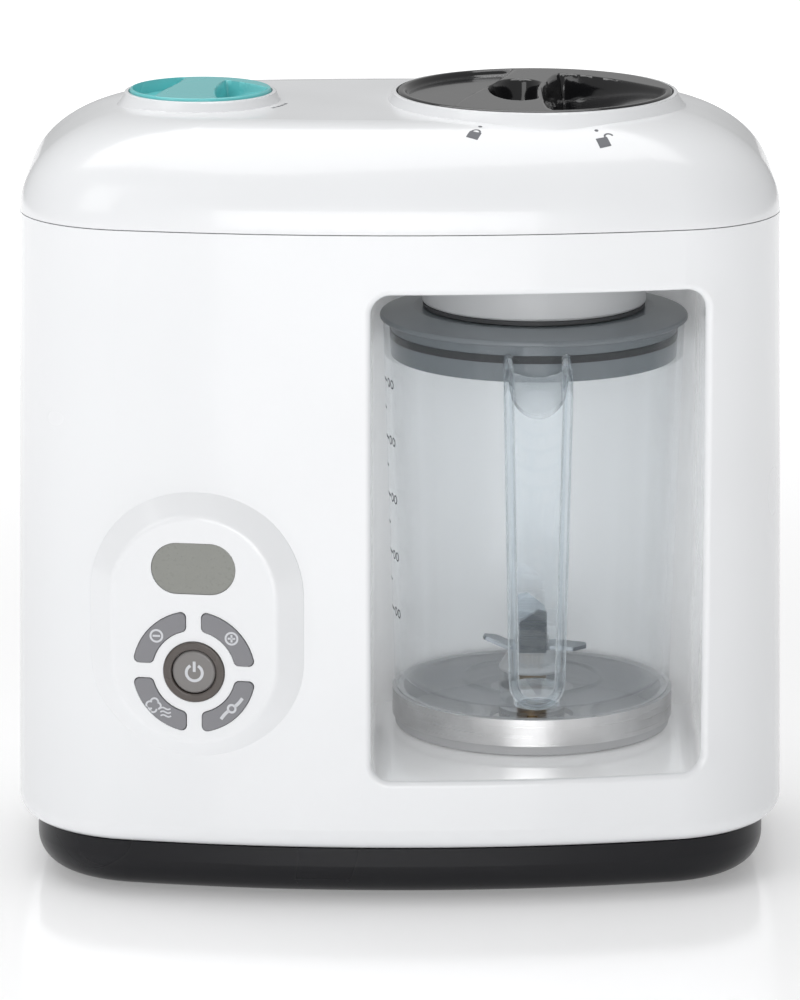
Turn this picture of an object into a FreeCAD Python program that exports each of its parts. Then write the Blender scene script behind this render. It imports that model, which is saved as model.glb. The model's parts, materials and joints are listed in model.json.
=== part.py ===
"""Baby food maker: a free-standing steamer and blender with a glass-clear jug in a front bay.

The frame is in millimetres, +Z up, with the origin on the surface it stands on, under the middle of the body.
The front faces -Y. The body has a white barrel shell and top cover over a dark base, a control pad on the
left, a jug bay on the right, a water tank and boiler on the left inside, and a motor that drives the blade
under the jug through a belt in the base.
"""
import FreeCAD, Part
import math
import os

import Sketcher
from FreeCAD import Placement, Rotation, Vector

X_AXIS = Vector(1, 0, 0)
Y_AXIS = Vector(0, 1, 0)
Z_AXIS = Vector(0, 0, 1)

# The driving dimensions, in millimetres, or degrees where the name says turn. Heights are measured from a
# datum plane inside the base, datum_height above the surface that the appliance stands on.
SIZES = {
    # body
    "datum_height": 13.0,
    "body_width": 308.4,
    "body_depth": 188.0,
    "front_bow": 520.0,
    "corner_radius": 54.0,
    "body_draft": 3.4,
    "wall": 2.6,
    "gap": 0.4,
    "panel_half": 104.0,
    "panel_bottom": 24.0,
    "panel_top": 214.0,
    "panel_gap": 0.2,
    "base_bottom": -11.0,
    "base_top": 9.4,
    "base_inset": 7.4,
    "base_round": 13.0,
    "shell_bottom": 9.8,
    "shell_tuck": 9.0,
    "seam_height": 257.4,
    "body_top": 296.0,
    "flare_sweep": 7.5,
    "top_round_side": 54.0,
    "top_round_front": 40.0,
    "foot_radius": 8.0,
    "foot_x": 100.0,
    "foot_y": 38.0,
    "screw_x": 124.0,
    "screw_y": 52.0,
    "gland_reach": 97.07,
    # control pad
    "pad_x": -80.3,
    "pad_z": 100.4,
    "pad_half_width": 41.0,
    "pad_half_height": 53.4,
    "pad_slope": 8.0,
    "pad_proud": 4.5,
    "power_z": 83.6,
    "power_radius": 8.7,
    "power_ring_radius": 12.2,
    "keys_inner": 16.8,
    "keys_outer": 24.4,
    "keys_half_gap": 3.2,
    "key_proud": 0.6,
    "key_travel": 1.2,
    "display_z": 125.2,
    "display_width": 33.3,
    "display_height": 20.2,
    # jug bay
    "bay_x": 54.0,
    "bay_half": 65.4,
    "bay_floor": 38.8,
    "bay_ceiling": 233.6,
    "bay_wall": 2.5,
    "bay_round": 8.0,
    "window_lip": 2.3,
    "sleeve_radius": 47.4,
    "sleeve_wall": 3.8,
    "sleeve_top": 264.0,
    # lock dial and steam collar
    "dial_radius": 55.0,
    "dial_bottom": 285.4,
    "dial_top": 300.3,
    "dial_well_floor": 284.9,
    "boss_top": 299.8,
    "cam_radius": 42.0,
    "cam_wall": 3.8,
    "cam_bottom": 256.0,
    "lug_z": 261.0,
    "lug_half": 2.5,
    "lock_turn": 40.0,
    "collar_lift": 4.0,
    "collar_radius": 45.2,
    "collar_wall": 2.5,
    "collar_bottom": 214.3,
    "collar_top": 268.0,
    # tank cap and water system
    "cap_x": -79.8,
    "cap_radius": 28.4,
    "cap_bottom": 287.4,
    "cap_top": 300.9,
    "cap_well_floor": 286.4,
    "neck_radius": 22.5,
    "neck_top": 285.0,
    "tank_left": -128.0,
    "tank_right": -34.0,
    "tank_front": -40.0,
    "tank_back": 52.0,
    "tank_bottom": 200.0,
    "tank_top": 258.0,
    "tank_wall": 2.0,
    "boiler_x": -104.0,
    "boiler_y": 28.0,
    "boiler_radius": 26.0,
    "boiler_bottom": 64.0,
    "boiler_top": 104.0,
    "hose_radius": 4.0,
    "hose_bore": 2.6,
    "board_back": 80.0,
    # motor, belt and drive
    "motor_x": -46.0,
    "motor_radius": 25.0,
    "motor_bottom": 30.0,
    "motor_top": 100.0,
    "shaft_radius": 4.0,
    "motor_pulley": 11.0,
    "drive_pulley": 31.0,
    "pulley_bottom": 11.0,
    "pulley_top": 21.0,
    "belt_thickness": 2.0,
    "belt_bottom": 12.6,
    "belt_top": 19.4,
    # jug
    "jug_foot_bottom": 39.2,
    "jug_ring_bottom": 43.2,
    "jug_ring_top": 54.2,
    "jug_ring_radius": 57.1,
    "jug_bottom": 54.4,
    "jug_top": 207.3,
    "jug_bottom_radius": 56.0,
    "jug_top_radius": 60.9,
    "jug_wall": 2.4,
    "lid_bottom": 192.4,
    "lid_rim": 207.6,
    "lid_radius": 62.1,
    "lid_port": 12.0,
    "tang_top": 44.0,
    "tang_half": 2.0,
    "tang_length": 10.2,
    "handle_top_half": 15.5,
    "handle_bottom_half": 11.0,
    "handle_front": 89.5,
}

RUNNING_GAP = 0.05
LUG_TURNS = (0, 120, 240)
RIB_TURNS = (60, 180, 300)
PARTS = []
document = FreeCAD.newDocument("BabyFoodMaker")
sheet = document.addObject("Spreadsheet::Sheet", "Sizes")


def fill_sheet():
    """Write the driving dimensions into the sheet, one aliased cell each."""
    for row, (alias, value) in enumerate(SIZES.items(), start=1):
        sheet.set(f"A{row}", alias)
        sheet.set(f"B{row}", str(value))
        sheet.setAlias(f"B{row}", alias)
    document.recompute()


def size(alias):
    """The value of one cell of the sheet."""
    return float(sheet.get(alias))


def formula(text):
    """A formula over the sheet's aliases, with each alias written as the sheet needs it."""
    words = text.replace("(", " ( ").replace(")", " ) ").split()
    return " ".join(f"Sizes.{word}" if word in SIZES else word for word in words)


def number(text):
    """The present value of such a formula."""
    return float(sheet.evalExpression(formula(text)))


def keep(label, thing, height="0"):
    """Mark an object as a sub-part, under the name that its file gets, and lift it from the datum."""
    thing.Label = label
    thing.setExpression("Placement.Base.z", formula(f"( {height} ) + datum_height"))
    PARTS.append(thing)
    return thing


def shape_part(label, shape, place=None):
    """A sub-part whose shape is made with Part's own functions, and then placed."""
    feature = document.addObject("Part::Feature", label)
    feature.Shape = shape
    if place:
        feature.Placement = place
    return keep(label, feature)


# ---------------------------------------------------------------- parametric helpers


def plane_of(body, role):
    """One of a body's origin planes."""
    return next(plane for plane in body.Origin.OriginFeatures if plane.Role == role)


def bound_sketch(body, role, corners):
    """A closed straight-sided sketch whose corners are formulas over the sheet."""
    sketch = body.newObject("Sketcher::SketchObject", "Profile")
    sketch.AttachmentSupport = [(plane_of(body, role), "")]
    sketch.MapMode = "FlatFace"
    points = [Vector(number(across), number(up), 0) for across, up in corners]
    count = len(points)
    for index in range(count):
        sketch.addGeometry(Part.LineSegment(points[index], points[(index + 1) % count]), False)
    for index in range(count):
        sketch.addConstraint(Sketcher.Constraint("Coincident", index, 2, (index + 1) % count, 1))
    for index, corner in enumerate(corners):
        for kind, text, value in zip(("DistanceX", "DistanceY"), corner, points[index]):
            constraint = sketch.addConstraint(Sketcher.Constraint(kind, -1, 1, index, 1, value))
            sketch.setExpression(f"Constraints[{constraint}]", formula(text))
    return sketch


def turned(label, corners, x="0", y="0"):
    """A body turned about the vertical line through x, y. Corners are radius and height formulas."""
    body = document.addObject("PartDesign::Body", label)
    sketch = bound_sketch(body, "XZ_Plane", corners)
    turn = body.newObject("PartDesign::Revolution", "Turn")
    turn.Profile = sketch
    turn.ReferenceAxis = (sketch, ["V_Axis"])
    turn.Angle = 360
    body.setExpression("Placement.Base.x", formula(x))
    body.setExpression("Placement.Base.y", formula(y))
    return body


def ring_corners(inner, outer, low, high):
    """The four corners of a plain ring's section."""
    return [(inner, low), (outer, low), (outer, high), (inner, high)]


def cylinder(label, radius, low, high, x="0", y="0"):
    """An upright Part cylinder between two heights."""
    piece = document.addObject("Part::Cylinder", label)
    piece.setExpression("Radius", formula(radius))
    piece.setExpression("Height", formula(f"( {high} ) - ( {low} )"))
    piece.setExpression("Placement.Base.x", formula(x))
    piece.setExpression("Placement.Base.y", formula(y))
    piece.setExpression("Placement.Base.z", formula(low))
    return piece


def box(label, low, high):
    """A Part box between two corners, each three formulas."""
    piece = document.addObject("Part::Box", label)
    for side, axis, start, end in zip(("Length", "Width", "Height"), "xyz", low, high):
        piece.setExpression(side, formula(f"( {end} ) - ( {start} )"))
        piece.setExpression(f"Placement.Base.{axis}", formula(start))
    return piece


def cut(label, base, *tools):
    """Base less the tools."""
    tool = tools[0] if len(tools) == 1 else fuse(label + "_tools", *tools)
    piece = document.addObject("Part::Cut", label)
    piece.Base = base
    piece.Tool = tool
    return piece


def fuse(label, *pieces):
    """One solid of several that touch."""
    piece = document.addObject("Part::MultiFuse", label)
    piece.Shapes = list(pieces)
    return piece


def group(label, *pieces):
    """Several separate solids that share a node."""
    piece = document.addObject("Part::Compound", label)
    piece.Links = list(pieces)
    return piece


# ---------------------------------------------------------------- outlines made with Part


def corner_arc(before, corner, after, radius):
    """The start, middle and end of the arc that rounds one corner."""
    back = (before - corner).normalize()
    on = (after - corner).normalize()
    half = back.getAngle(on) / 2
    cut_back = radius / math.tan(half)
    bisector = (back + on).normalize()
    centre = corner + bisector * (radius / math.sin(half))
    return corner + back * cut_back, centre - bisector * radius, corner + on * cut_back


def rounded_wire(points, radii):
    """A closed wire through the points, with each corner rounded to its own radius, or left sharp at 0."""
    count = len(points)
    spans = []
    for index in range(count):
        corner = points[index]
        if radii[index] > 0:
            spans.append(corner_arc(points[index - 1], corner, points[(index + 1) % count], radii[index]))
        else:
            spans.append((corner, corner, corner))
    edges = []
    for index, (start, middle, end) in enumerate(spans):
        if radii[index] > 0:
            edges.append(Part.Arc(start, middle, end).toShape())
        following = spans[(index + 1) % count][0]
        if end.distanceToPoint(following) > 1e-6:
            edges.append(Part.LineSegment(end, following).toShape())
    return Part.Wire(edges)


def prism(wire, direction):
    """The solid that a flat wire sweeps along a vector."""
    return Part.Face(wire).extrude(direction)


def racetrack(half_width, half_height, radius, y, x=0.0, z=0.0):
    """An upright rounded rectangle in a plane of constant y."""
    points = [
        Vector(x - half_width, y, z - half_height),
        Vector(x + half_width, y, z - half_height),
        Vector(x + half_width, y, z + half_height),
        Vector(x - half_width, y, z + half_height),
    ]
    return rounded_wire(points, [radius] * 4)


def disc(radius, low, high, x=0.0, y=0.0):
    """An upright cylinder as a bare shape."""
    return Part.makeCylinder(radius, high - low, Vector(x, y, low))


def tube(inner, outer, low, high, x=0.0, y=0.0):
    """An upright tube as a bare shape."""
    return disc(outer, low, high, x, y).cut(disc(inner, low - 1, high + 1, x, y))


def block(low, high):
    """A box between two corners as a bare shape."""
    span = Vector(*high) - Vector(*low)
    return Part.makeBox(span.x, span.y, span.z, Vector(*low))


def revolve(points, radii, x=0.0, y=0.0):
    """A solid turned about the vertical through x, y, from radius and height points with rounded corners."""
    wire = rounded_wire([Vector(r, 0, z) for r, z in points], radii)
    solid = Part.Face(wire).revolve(Vector(0, 0, 0), Z_AXIS, 360)
    solid.translate(Vector(x, y, 0))
    return solid


def edges_where(shape, test):
    """The edges of a shape that pass a test of their bounding box."""
    return [edge for edge in shape.Edges if test(edge.BoundBox)]


def body_outline(inset, z, narrow=0.0, ease=0.0):
    """The body's plan at height z, drawn in by inset: bowed front and back, round corners, straight sides.

    The sides come in by narrow as well, and ease makes the corners rounder than the inset leaves them.
    """
    half_width = size("body_width") / 2 - inset - narrow
    half_depth = size("body_depth") / 2 - inset
    bow = size("front_bow") - inset
    corner = size("corner_radius") - inset + ease
    centre_x = half_width - corner
    centre_y = math.sqrt((bow - corner) ** 2 - centre_x**2) - (bow - half_depth)
    lean = math.atan2(centre_x, centre_y + bow - half_depth)
    tangent_x = bow * math.sin(lean)
    tangent_y = bow * math.cos(lean) - (bow - half_depth)
    middle = (math.pi / 2 - lean) / 2
    mid_x = centre_x + corner * math.cos(middle)
    mid_y = centre_y + corner * math.sin(middle)

    def arc(*points):
        return Part.Arc(*[Vector(px, py, z) for px, py in points]).toShape()

    def line(start, end):
        return Part.LineSegment(Vector(*start, z), Vector(*end, z)).toShape()

    edges = [
        arc((-tangent_x, -tangent_y), (0, -half_depth), (tangent_x, -tangent_y)),
        arc((tangent_x, -tangent_y), (mid_x, -mid_y), (half_width, -centre_y)),
        line((half_width, -centre_y), (half_width, centre_y)),
        arc((half_width, centre_y), (mid_x, mid_y), (tangent_x, tangent_y)),
        arc((tangent_x, tangent_y), (0, half_depth), (-tangent_x, tangent_y)),
        arc((-tangent_x, tangent_y), (-mid_x, mid_y), (-half_width, centre_y)),
        line((-half_width, centre_y), (-half_width, -centre_y)),
        arc((-half_width, -centre_y), (-mid_x, -mid_y), (-tangent_x, -tangent_y)),
    ]
    return Part.Wire(edges)


def draft_at(z):
    """How far the body's wall leans in at a height, from nothing at the shell's foot."""
    share = (z - size("shell_bottom")) / (size("seam_height") - size("shell_bottom"))
    return size("body_draft") * share


def body_block(inset, low, high):
    """The solid between two heights inside the body's leaning wall, drawn in by inset."""
    wires = [body_outline(inset + draft_at(z), z) for z in (low, high)]
    return Part.makeLoft(wires, True, True)


def top_block(inset):
    """The solid under the round top, drawn in by inset, from the seam up."""
    steps = 10
    rise = size("body_top") - inset - size("seam_height")
    wires = []
    for step in range(steps + 1):
        angle = step / steps * math.pi / 2
        share = 1 - math.cos(angle)
        drawn_in = size("top_round_front") * share
        narrow = size("top_round_side") * share - drawn_in
        z = size("seam_height") + rise * math.sin(angle)
        wires.append(body_outline(inset + size("body_draft") + drawn_in, z, narrow, 0.6 * drawn_in))
    return Part.makeLoft(wires, True, False)


def four_corners(x, y):
    """The four places at plus and minus x and y."""
    return [(sx * x, sy * y) for sx in (-1, 1) for sy in (-1, 1)]


# ---------------------------------------------------------------- control pad frame


def pad_frame():
    """Where the control pad sits: its own Y runs straight into the body, square to the bowed front."""
    lean = math.asin(-size("pad_x") / size("front_bow"))
    depth = size("front_bow") * (1 - math.cos(lean)) - size("body_depth") / 2
    return Placement(Vector(size("pad_x"), depth, 0), Rotation(Z_AXIS, -math.degrees(lean)))


def on_pad(shape):
    """A shape drawn in the pad's frame, moved to its place on the body."""
    moved = shape.copy()
    moved.Placement = pad_frame().multiply(shape.Placement)
    return moved


def pad_part(label, shape):
    """A sub-part drawn in the pad's frame and placed by its own Placement."""
    return shape_part(label, shape, pad_frame())


def along_y(radius, low, high, x=0.0, z=0.0):
    """A cylinder lying along Y between two depths."""
    return Part.makeCylinder(radius, high - low, Vector(x, low, z), Y_AXIS)


def key_sector(grow, low, high, sx, sz):
    """One of the four keys round the power button: a quarter ring with parallel gaps and round corners."""
    inner = size("keys_inner") - grow
    outer = size("keys_outer") + grow
    edge = size("keys_half_gap") - grow
    ring = along_y(outer, low, high).cut(along_y(inner, low - 1, high + 1))
    quarter = block((edge, low - 1, edge), (outer + 1, high + 1, outer + 1))
    sector = ring.common(quarter)
    upright = [edge for edge in sector.Edges if edge.BoundBox.YLength > high - low - 0.01]
    sector = sector.makeFillet(2.2, upright)
    if sx < 0:
        sector = sector.mirror(Vector(0, 0, 0), X_AXIS)
    if sz < 0:
        sector = sector.mirror(Vector(0, 0, 0), Z_AXIS)
    sector.translate(Vector(0, 0, size("power_z")))
    return sector


KEYS = {"minus_key": (-1, 1), "plus_key": (1, 1), "steam_key": (-1, -1), "blend_key": (1, -1)}


def display_track(grow, y):
    """The display's outline, grown by a clearance."""
    half_height = size("display_height") / 2 + grow
    half_width = size("display_width") / 2 + grow
    return racetrack(half_width, half_height, half_height - 0.01, y, 0, size("display_z"))


def pad_bump():
    """The raised oval of the control pad, with a sloped side."""
    half_width, half_height = size("pad_half_width"), size("pad_half_height")
    slope, proud = size("pad_slope"), size("pad_proud")
    root, spread = 2.6, 1.6
    foot = racetrack(
        half_width + spread, half_height + spread, half_width + spread - 0.5, root, 0, size("pad_z")
    )
    top_half = half_width - slope
    top = racetrack(top_half, half_height - slope, top_half - 0.5, -proud, 0, size("pad_z"))
    bump = Part.makeLoft([foot, top], True, True)
    bump = bump.makeFillet(4.0, edges_where(bump, lambda b: b.YMax < -proud + 0.1))
    return bump.fuse(prism(foot, Vector(0, 2.4, 0)))


def pad_openings():
    """What is cut through the control pad: display, keys, power ring and the room behind."""
    through = 12.0
    low = -size("pad_proud") - 2
    inner_half = size("pad_half_width") - 10
    room = racetrack(inner_half, size("pad_half_height") - 10, inner_half - 0.5, -1.9, 0, size("pad_z"))
    tools = [prism(room, Vector(0, through, 0)), prism(display_track(0.2, low), Vector(0, through, 0))]
    ring_hole = along_y(size("power_ring_radius") + 0.2, low, through, 0, size("power_z"))
    tools.append(ring_hole)
    tools += [key_sector(0.25, low, through, sx, sz) for sx, sz in KEYS.values()]
    return tools


# ---------------------------------------------------------------- housing


def bay_plan(half, low, high):
    """The jug bay seen from above: straight sides, and a round back about the jug's axis."""
    x = size("bay_x")
    walls = block((x - half, -120, low), (x + half, 0, high))
    return walls.fuse(disc(half, low, high, x)).removeSplitter()


def bay_tunnel(grow):
    """The jug bay seen from the front, run from before the front face to the back."""
    half_height = (size("bay_ceiling") - size("bay_floor")) / 2
    middle = (size("bay_ceiling") + size("bay_floor")) / 2
    wire = racetrack(
        size("bay_half") + grow, half_height + grow, size("bay_round") + grow, -130, size("bay_x"), middle
    )
    return prism(wire, Vector(0, 260, 0))


def bay_room(grow):
    """The jug bay's space, grown by a wall."""
    plan = bay_plan(size("bay_half") + grow, 20, 260)
    return plan.common(bay_tunnel(grow))


def main_housing():
    """The white barrel shell: open below and above, with the bay's window and the control pad."""
    low, high = size("shell_bottom"), size("seam_height") - size("gap") / 2
    wall, tuck = size("wall"), size("shell_tuck")
    outer = body_block(0, low, high)
    outer = outer.makeFillet(tuck, edges_where(outer, lambda b: b.ZMax < low + 0.1))
    room = body_block(wall, low + wall, high + 1)
    room = room.makeFillet(tuck - wall, edges_where(room, lambda b: b.ZMax < low + wall + 0.1))
    throat = body_block(15.0, low - 1, low + 8)
    shell = outer.fuse(on_pad(pad_bump())).cut(room).cut(throat)
    for x, y in four_corners(size("screw_x"), size("screw_y")):
        post = disc(6.5, low, low + 18, x, y).cut(disc(1.6, low - 1, low + 14, x, y))
        shell = shell.cut(disc(1.6, low - 1, low + 14, x, y)).fuse(post)
    ledge = block((-150, -30, size("tank_bottom") - 4), (-120, 42, size("tank_bottom") - 0.4))
    shell = shell.fuse(ledge.common(body_block(1.0, 190, 210)))
    for x, z in ((-68, 74), (-28, 74), (-68, 156), (-28, 156)):
        post = along_y(3.0, size("board_back") + 0.1, 100, x, z)
        shell = shell.fuse(post.common(body_block(1.0, 60, 170)))
    for tool in pad_openings():
        shell = shell.cut(on_pad(tool))
    window = bay_tunnel(0).common(block((-40, -130, 0), (150, -40, 260)))
    shell = shell.cut(window)
    shell = round_window(shell)
    shell = shell.cut(gland_bore(7.2))
    shape_part("main_housing", shell.cut(rear_opening(0)))
    shape_part("rear_panel", shell.common(rear_opening(size("panel_gap"))))


def rear_opening(inset):
    """The part of the back wall that comes off as a service panel, drawn in by inset."""
    low, high = size("panel_bottom"), size("panel_top")
    half_width, half_height = size("panel_half") - inset, (high - low) / 2 - inset
    wire = racetrack(half_width, half_height, 9.0 - inset, 60.0, 0.0, (low + high) / 2)
    return prism(wire, Vector(0, 70, 0))


def round_window(shell):
    """Soften the outer edge of the bay's window."""
    x, half = size("bay_x"), size("bay_half")

    def on_lip(edge):
        middle = edge.valueAt((edge.FirstParameter + edge.LastParameter) / 2)
        across = abs(middle.x - x) < half + 1 and size("bay_floor") - 1 < middle.z < size("bay_ceiling") + 1
        front = body_outline(draft_at(middle.z), middle.z)
        return across and middle.y < 0 and front.distToShape(Part.Vertex(middle))[0] < 0.02

    return shell.makeFillet(size("window_lip"), [edge for edge in shell.Edges if on_lip(edge)])


def gland_bore(radius):
    """The hole for the cord's inlet, low in the back."""
    return Part.makeCylinder(radius, 40, Vector(-60, 70, 44), Y_AXIS)


def flare(x, rim, foot, foot_z):
    """A boss that rises out of the top in a concave sweep to a thin rim."""
    top, root = size("boss_top"), size("seam_height")
    rise = top - foot_z
    profile = [
        Part.LineSegment(Vector(0, 0, root), Vector(foot, 0, root)),
        Part.LineSegment(Vector(foot, 0, root), Vector(foot, 0, foot_z)),
        Part.Arc(
            Vector(foot, 0, foot_z),
            Vector(rim + (foot - rim) * 0.36, 0, foot_z + rise * 0.40),
            Vector(rim, 0, top - 0.6),
        ),
        Part.Arc(Vector(rim, 0, top - 0.6), Vector(rim - 0.2, 0, top - 0.2), Vector(rim - 0.7, 0, top)),
        Part.LineSegment(Vector(rim - 0.7, 0, top), Vector(0, 0, top)),
        Part.LineSegment(Vector(0, 0, top), Vector(0, 0, root)),
    ]
    wire = Part.Wire([piece.toShape() for piece in profile])
    solid = Part.Face(wire).revolve(Vector(0, 0, 0), Z_AXIS, 360)
    solid.translate(Vector(x, 0, 0))
    return solid


def top_cover():
    """The white top, with wells for the lock dial and the tank's cap."""
    dial_x, cap_x = size("bay_x"), size("cap_x")
    dial_well, cap_well = size("dial_radius") + 0.6, size("cap_radius") + 0.5
    dial_floor, cap_floor = size("dial_well_floor"), size("cap_well_floor")
    seat, rim_wall = 2.5, 1.6
    low = size("seam_height") + size("gap") / 2
    outer = top_block(0).common(block((-200, -200, low), (200, 200, 320)))
    inner = top_block(size("wall"))
    shell = outer.cut(inner)
    for x, rim in ((dial_x, dial_well + rim_wall), (cap_x, cap_well + rim_wall)):
        shell = shell.fuse(flare(x, rim, rim + size("flare_sweep"), size("boss_top") - 8.8))
    for x, well, floor, hole in (
        (dial_x, dial_well, dial_floor, size("cam_radius") + 2.6),
        (cap_x, cap_well, cap_floor, size("neck_radius") + 4.1),
    ):
        shell = shell.cut(disc(well, 262, 320, x))
        under = disc(well + 12, 240, floor - seat, x)
        cup = disc(well + rim_wall, floor - seat, size("boss_top") - 2, x).cut(disc(well, floor, 320, x))
        shell = shell.cut(under.common(top_block(size("wall") + 0.01)))
        shell = shell.fuse(cup).cut(disc(hole, 240, 300, x))
    wall, seam = size("wall"), size("seam_height")
    lip = body_block(wall + 0.3, seam - 5, seam + 2).cut(body_block(wall + 2.0, seam - 6, seam + 3))
    step = body_block(1.5, low, seam + 2).cut(body_block(wall + 2.0, seam - 6, seam + 3))
    shape_part("top_cover", shell.fuse(lip).fuse(step).removeSplitter())


def base_tray():
    """The dark base: a round-bottomed tub with screw posts, foot recesses and cooling slots."""
    low, high, wall = size("base_bottom"), size("base_top"), size("wall")
    inset, rounding = size("base_inset"), size("base_round")
    outer = prism(body_outline(inset, low), Vector(0, 0, high - low))
    outer = outer.makeFillet(rounding, edges_where(outer, lambda b: b.ZMax < low + 0.1))
    room = prism(body_outline(inset + wall, low + 3), Vector(0, 0, high - low))
    room = room.makeFillet(rounding - wall, edges_where(room, lambda b: b.ZMax < low + 3.1))
    tray = outer.cut(room)
    for x, y in four_corners(size("screw_x"), size("screw_y")):
        tray = tray.fuse(disc(6.0, low + 4, high, x, y).common(outer))
        tray = tray.cut(disc(2.2, low - 1, high + 1, x, y)).cut(disc(4.4, low - 1, low + 7, x, y))
    for x, y in four_corners(size("foot_x"), size("foot_y")):
        tray = tray.cut(disc(size("foot_radius") + 0.2, low - 1, low + 1.6, x, y))
    for row in range(9):
        slot_x = size("motor_x") - 32 + row * 8
        slot = rounded_wire(
            [Vector(slot_x - 1.5, -22, low - 1), Vector(slot_x + 1.5, -22, low - 1),
             Vector(slot_x + 1.5, 22, low - 1), Vector(slot_x - 1.5, 22, low - 1)], [1.49] * 4
        )
        tray = tray.cut(prism(slot, Vector(0, 0, 8)))
    shape_part("base_tray", tray)


def fasteners_and_feet():
    """Four rubber feet and the four screws that hold the base to the shell."""
    feet = [
        turned(
            f"foot_{index}",
            [
                ("0", "base_bottom - 2"), ("foot_radius - 0.8", "base_bottom - 2"),
                ("foot_radius", "base_bottom - 1.2"), ("foot_radius", "base_bottom + 1.6"),
                ("0", "base_bottom + 1.6"),
            ],
            str(x), str(y),
        )
        for index, (x, y) in enumerate(four_corners(size("foot_x"), size("foot_y")))
    ]
    keep("rubber_feet", group("rubber_feet", *feet))
    screws = [
        turned(
            f"screw_{index}",
            [("0", "base_bottom + 4.6"), ("3.9", "base_bottom + 4.6"), ("3.9", "base_bottom + 6.9"),
             ("1.55", "base_bottom + 6.9"), ("1.55", "base_top + 11"), ("0", "base_top + 12.5")],
            str(x), str(y),
        )
        for index, (x, y) in enumerate(four_corners(size("screw_x"), size("screw_y")))
    ]
    keep("base_screws", group("base_screws", *screws))


def jug_bay():
    """The white liner behind the window, with the sleeve that guides the steam collar."""
    x = size("bay_x")
    wall, sleeve = size("bay_wall"), size("sleeve_radius")
    liner = bay_room(wall).cut(bay_room(0))
    limit = body_block(size("wall") + 0.3, size("shell_bottom") + 11.3, size("seam_height"))
    liner = liner.common(limit)
    under_ceiling = size("bay_ceiling")
    ring = disc(sleeve + size("sleeve_wall"), under_ceiling, size("sleeve_top"), x)
    liner = liner.fuse(ring).cut(disc(sleeve, under_ceiling - 1, size("sleeve_top") + 1, x))
    liner = liner.cut(disc(10.5, 30, 50, x))
    for turn in RIB_TURNS:
        key = block((sleeve - 2, -2.3, under_ceiling - 1), (sleeve + 1.8, 2.3, size("sleeve_top") + 1))
        key.rotate(Vector(0, 0, 0), Z_AXIS, turn)
        key.translate(Vector(x, 0, 0))
        liner = liner.cut(key)
    ledge_top = size("tank_bottom") - 0.4
    ledge = block((-42, -30, ledge_top - 3.6), (x - size("bay_half") - 1, 42, ledge_top))
    liner = liner.fuse(ledge)
    spigot_hole = Part.makeCylinder(size("hose_radius") + 0.1, 20, Vector(x, sleeve - 4, 246), Y_AXIS)
    shape_part("jug_bay", liner.cut(spigot_hole))


def cord_gland():
    """The bush that a mains cord would pass through, low in the back wall."""
    outer = Part.makeCylinder(7.0, 9.0, Vector(-60, 84.4, 44), Y_AXIS)
    collar = Part.makeCylinder(9.4, 2.2, Vector(-60, 91.6, 44), Y_AXIS)
    collar = collar.makeFillet(0.8, edges_where(collar, lambda b: b.YMin > 93.7))
    back = Part.makeCylinder(8.6, 2.4, Vector(-60, 83.0, 44), Y_AXIS)
    nose = Part.makeCone(6.4, 5.4, size("gland_reach") - 93, Vector(-60, 93, 44), Y_AXIS)
    gland = outer.fuse([collar, back, nose]).cut(gland_bore(3.6))
    shape_part("cord_gland", gland)


# ---------------------------------------------------------------- control pieces


def control_pieces():
    """Keys, power button and ring, display window, and the electronics behind them."""
    proud, key_proud = size("pad_proud"), size("key_proud")
    face, back = -proud - key_proud, -0.5
    flange = (-1.7, back)
    for label, (sx, sz) in KEYS.items():
        cap = key_sector(0, face, back, sx, sz)
        outer_edges = edges_where(cap, lambda b: b.YMax < face + 0.01)
        cap = cap.makeFillet(0.45, outer_edges)
        cap = cap.fuse(key_sector(0.7, *flange, sx, sz))
        pad_part(label, cap)
    power_z = size("power_z")
    dome = along_y(size("power_radius"), face + 0.2, back, 0, power_z)
    dome = dome.makeFillet(1.2, edges_where(dome, lambda b: b.YMax < face + 0.3))
    dome = dome.fuse(along_y(size("power_radius") + 0.8, *flange, 0, power_z))
    pad_part("power_button", dome)
    ring = along_y(size("power_ring_radius"), face - 0.2, -2.0, 0, power_z)
    ring = ring.cut(along_y(size("power_radius") + 0.25, face - 1, 0, 0, power_z))
    ring = ring.makeFillet(0.7, edges_where(ring, lambda b: b.YMax < face - 0.1))
    pad_part("power_ring", ring)
    pad_part("display_window", prism(display_track(0, -proud + 0.3), Vector(0, 2.2, 0)))
    module = block((-19.5, -1.8, size("display_z") - 11), (19.5, 1.6, size("display_z") + 10.8))
    pad_part("lcd_module", module)
    low = size("power_z") - 28
    pad_part("key_membrane", along_y(25.5, 0.9, 1.7, 0, power_z))
    board = block((-28, 5.2, low), (28, 6.8, size("display_z") + 13))
    pad_part("control_board", board)


# ---------------------------------------------------------------- drive


def belt_loop(grow, low, high):
    """The solid inside a loop round both pulleys, grown by a distance."""
    small, large = size("motor_pulley") + grow, size("drive_pulley") + grow
    start, end = size("motor_x"), size("bay_x")
    lean = math.asin((large - small) / (end - start))
    side = Vector(-math.sin(lean), math.cos(lean), 0)
    other = Vector(-math.sin(lean), -math.cos(lean), 0)
    left, right = Vector(start, 0, low), Vector(end, 0, low)
    edges = [
        Part.Arc(left + side * small, left - X_AXIS * small, left + other * small).toShape(),
        Part.LineSegment(left + other * small, right + other * large).toShape(),
        Part.Arc(right + other * large, right + X_AXIS * large, right + side * large).toShape(),
        Part.LineSegment(right + side * large, left + side * small).toShape(),
    ]
    return prism(Part.Wire(edges), Vector(0, 0, high - low))


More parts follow.
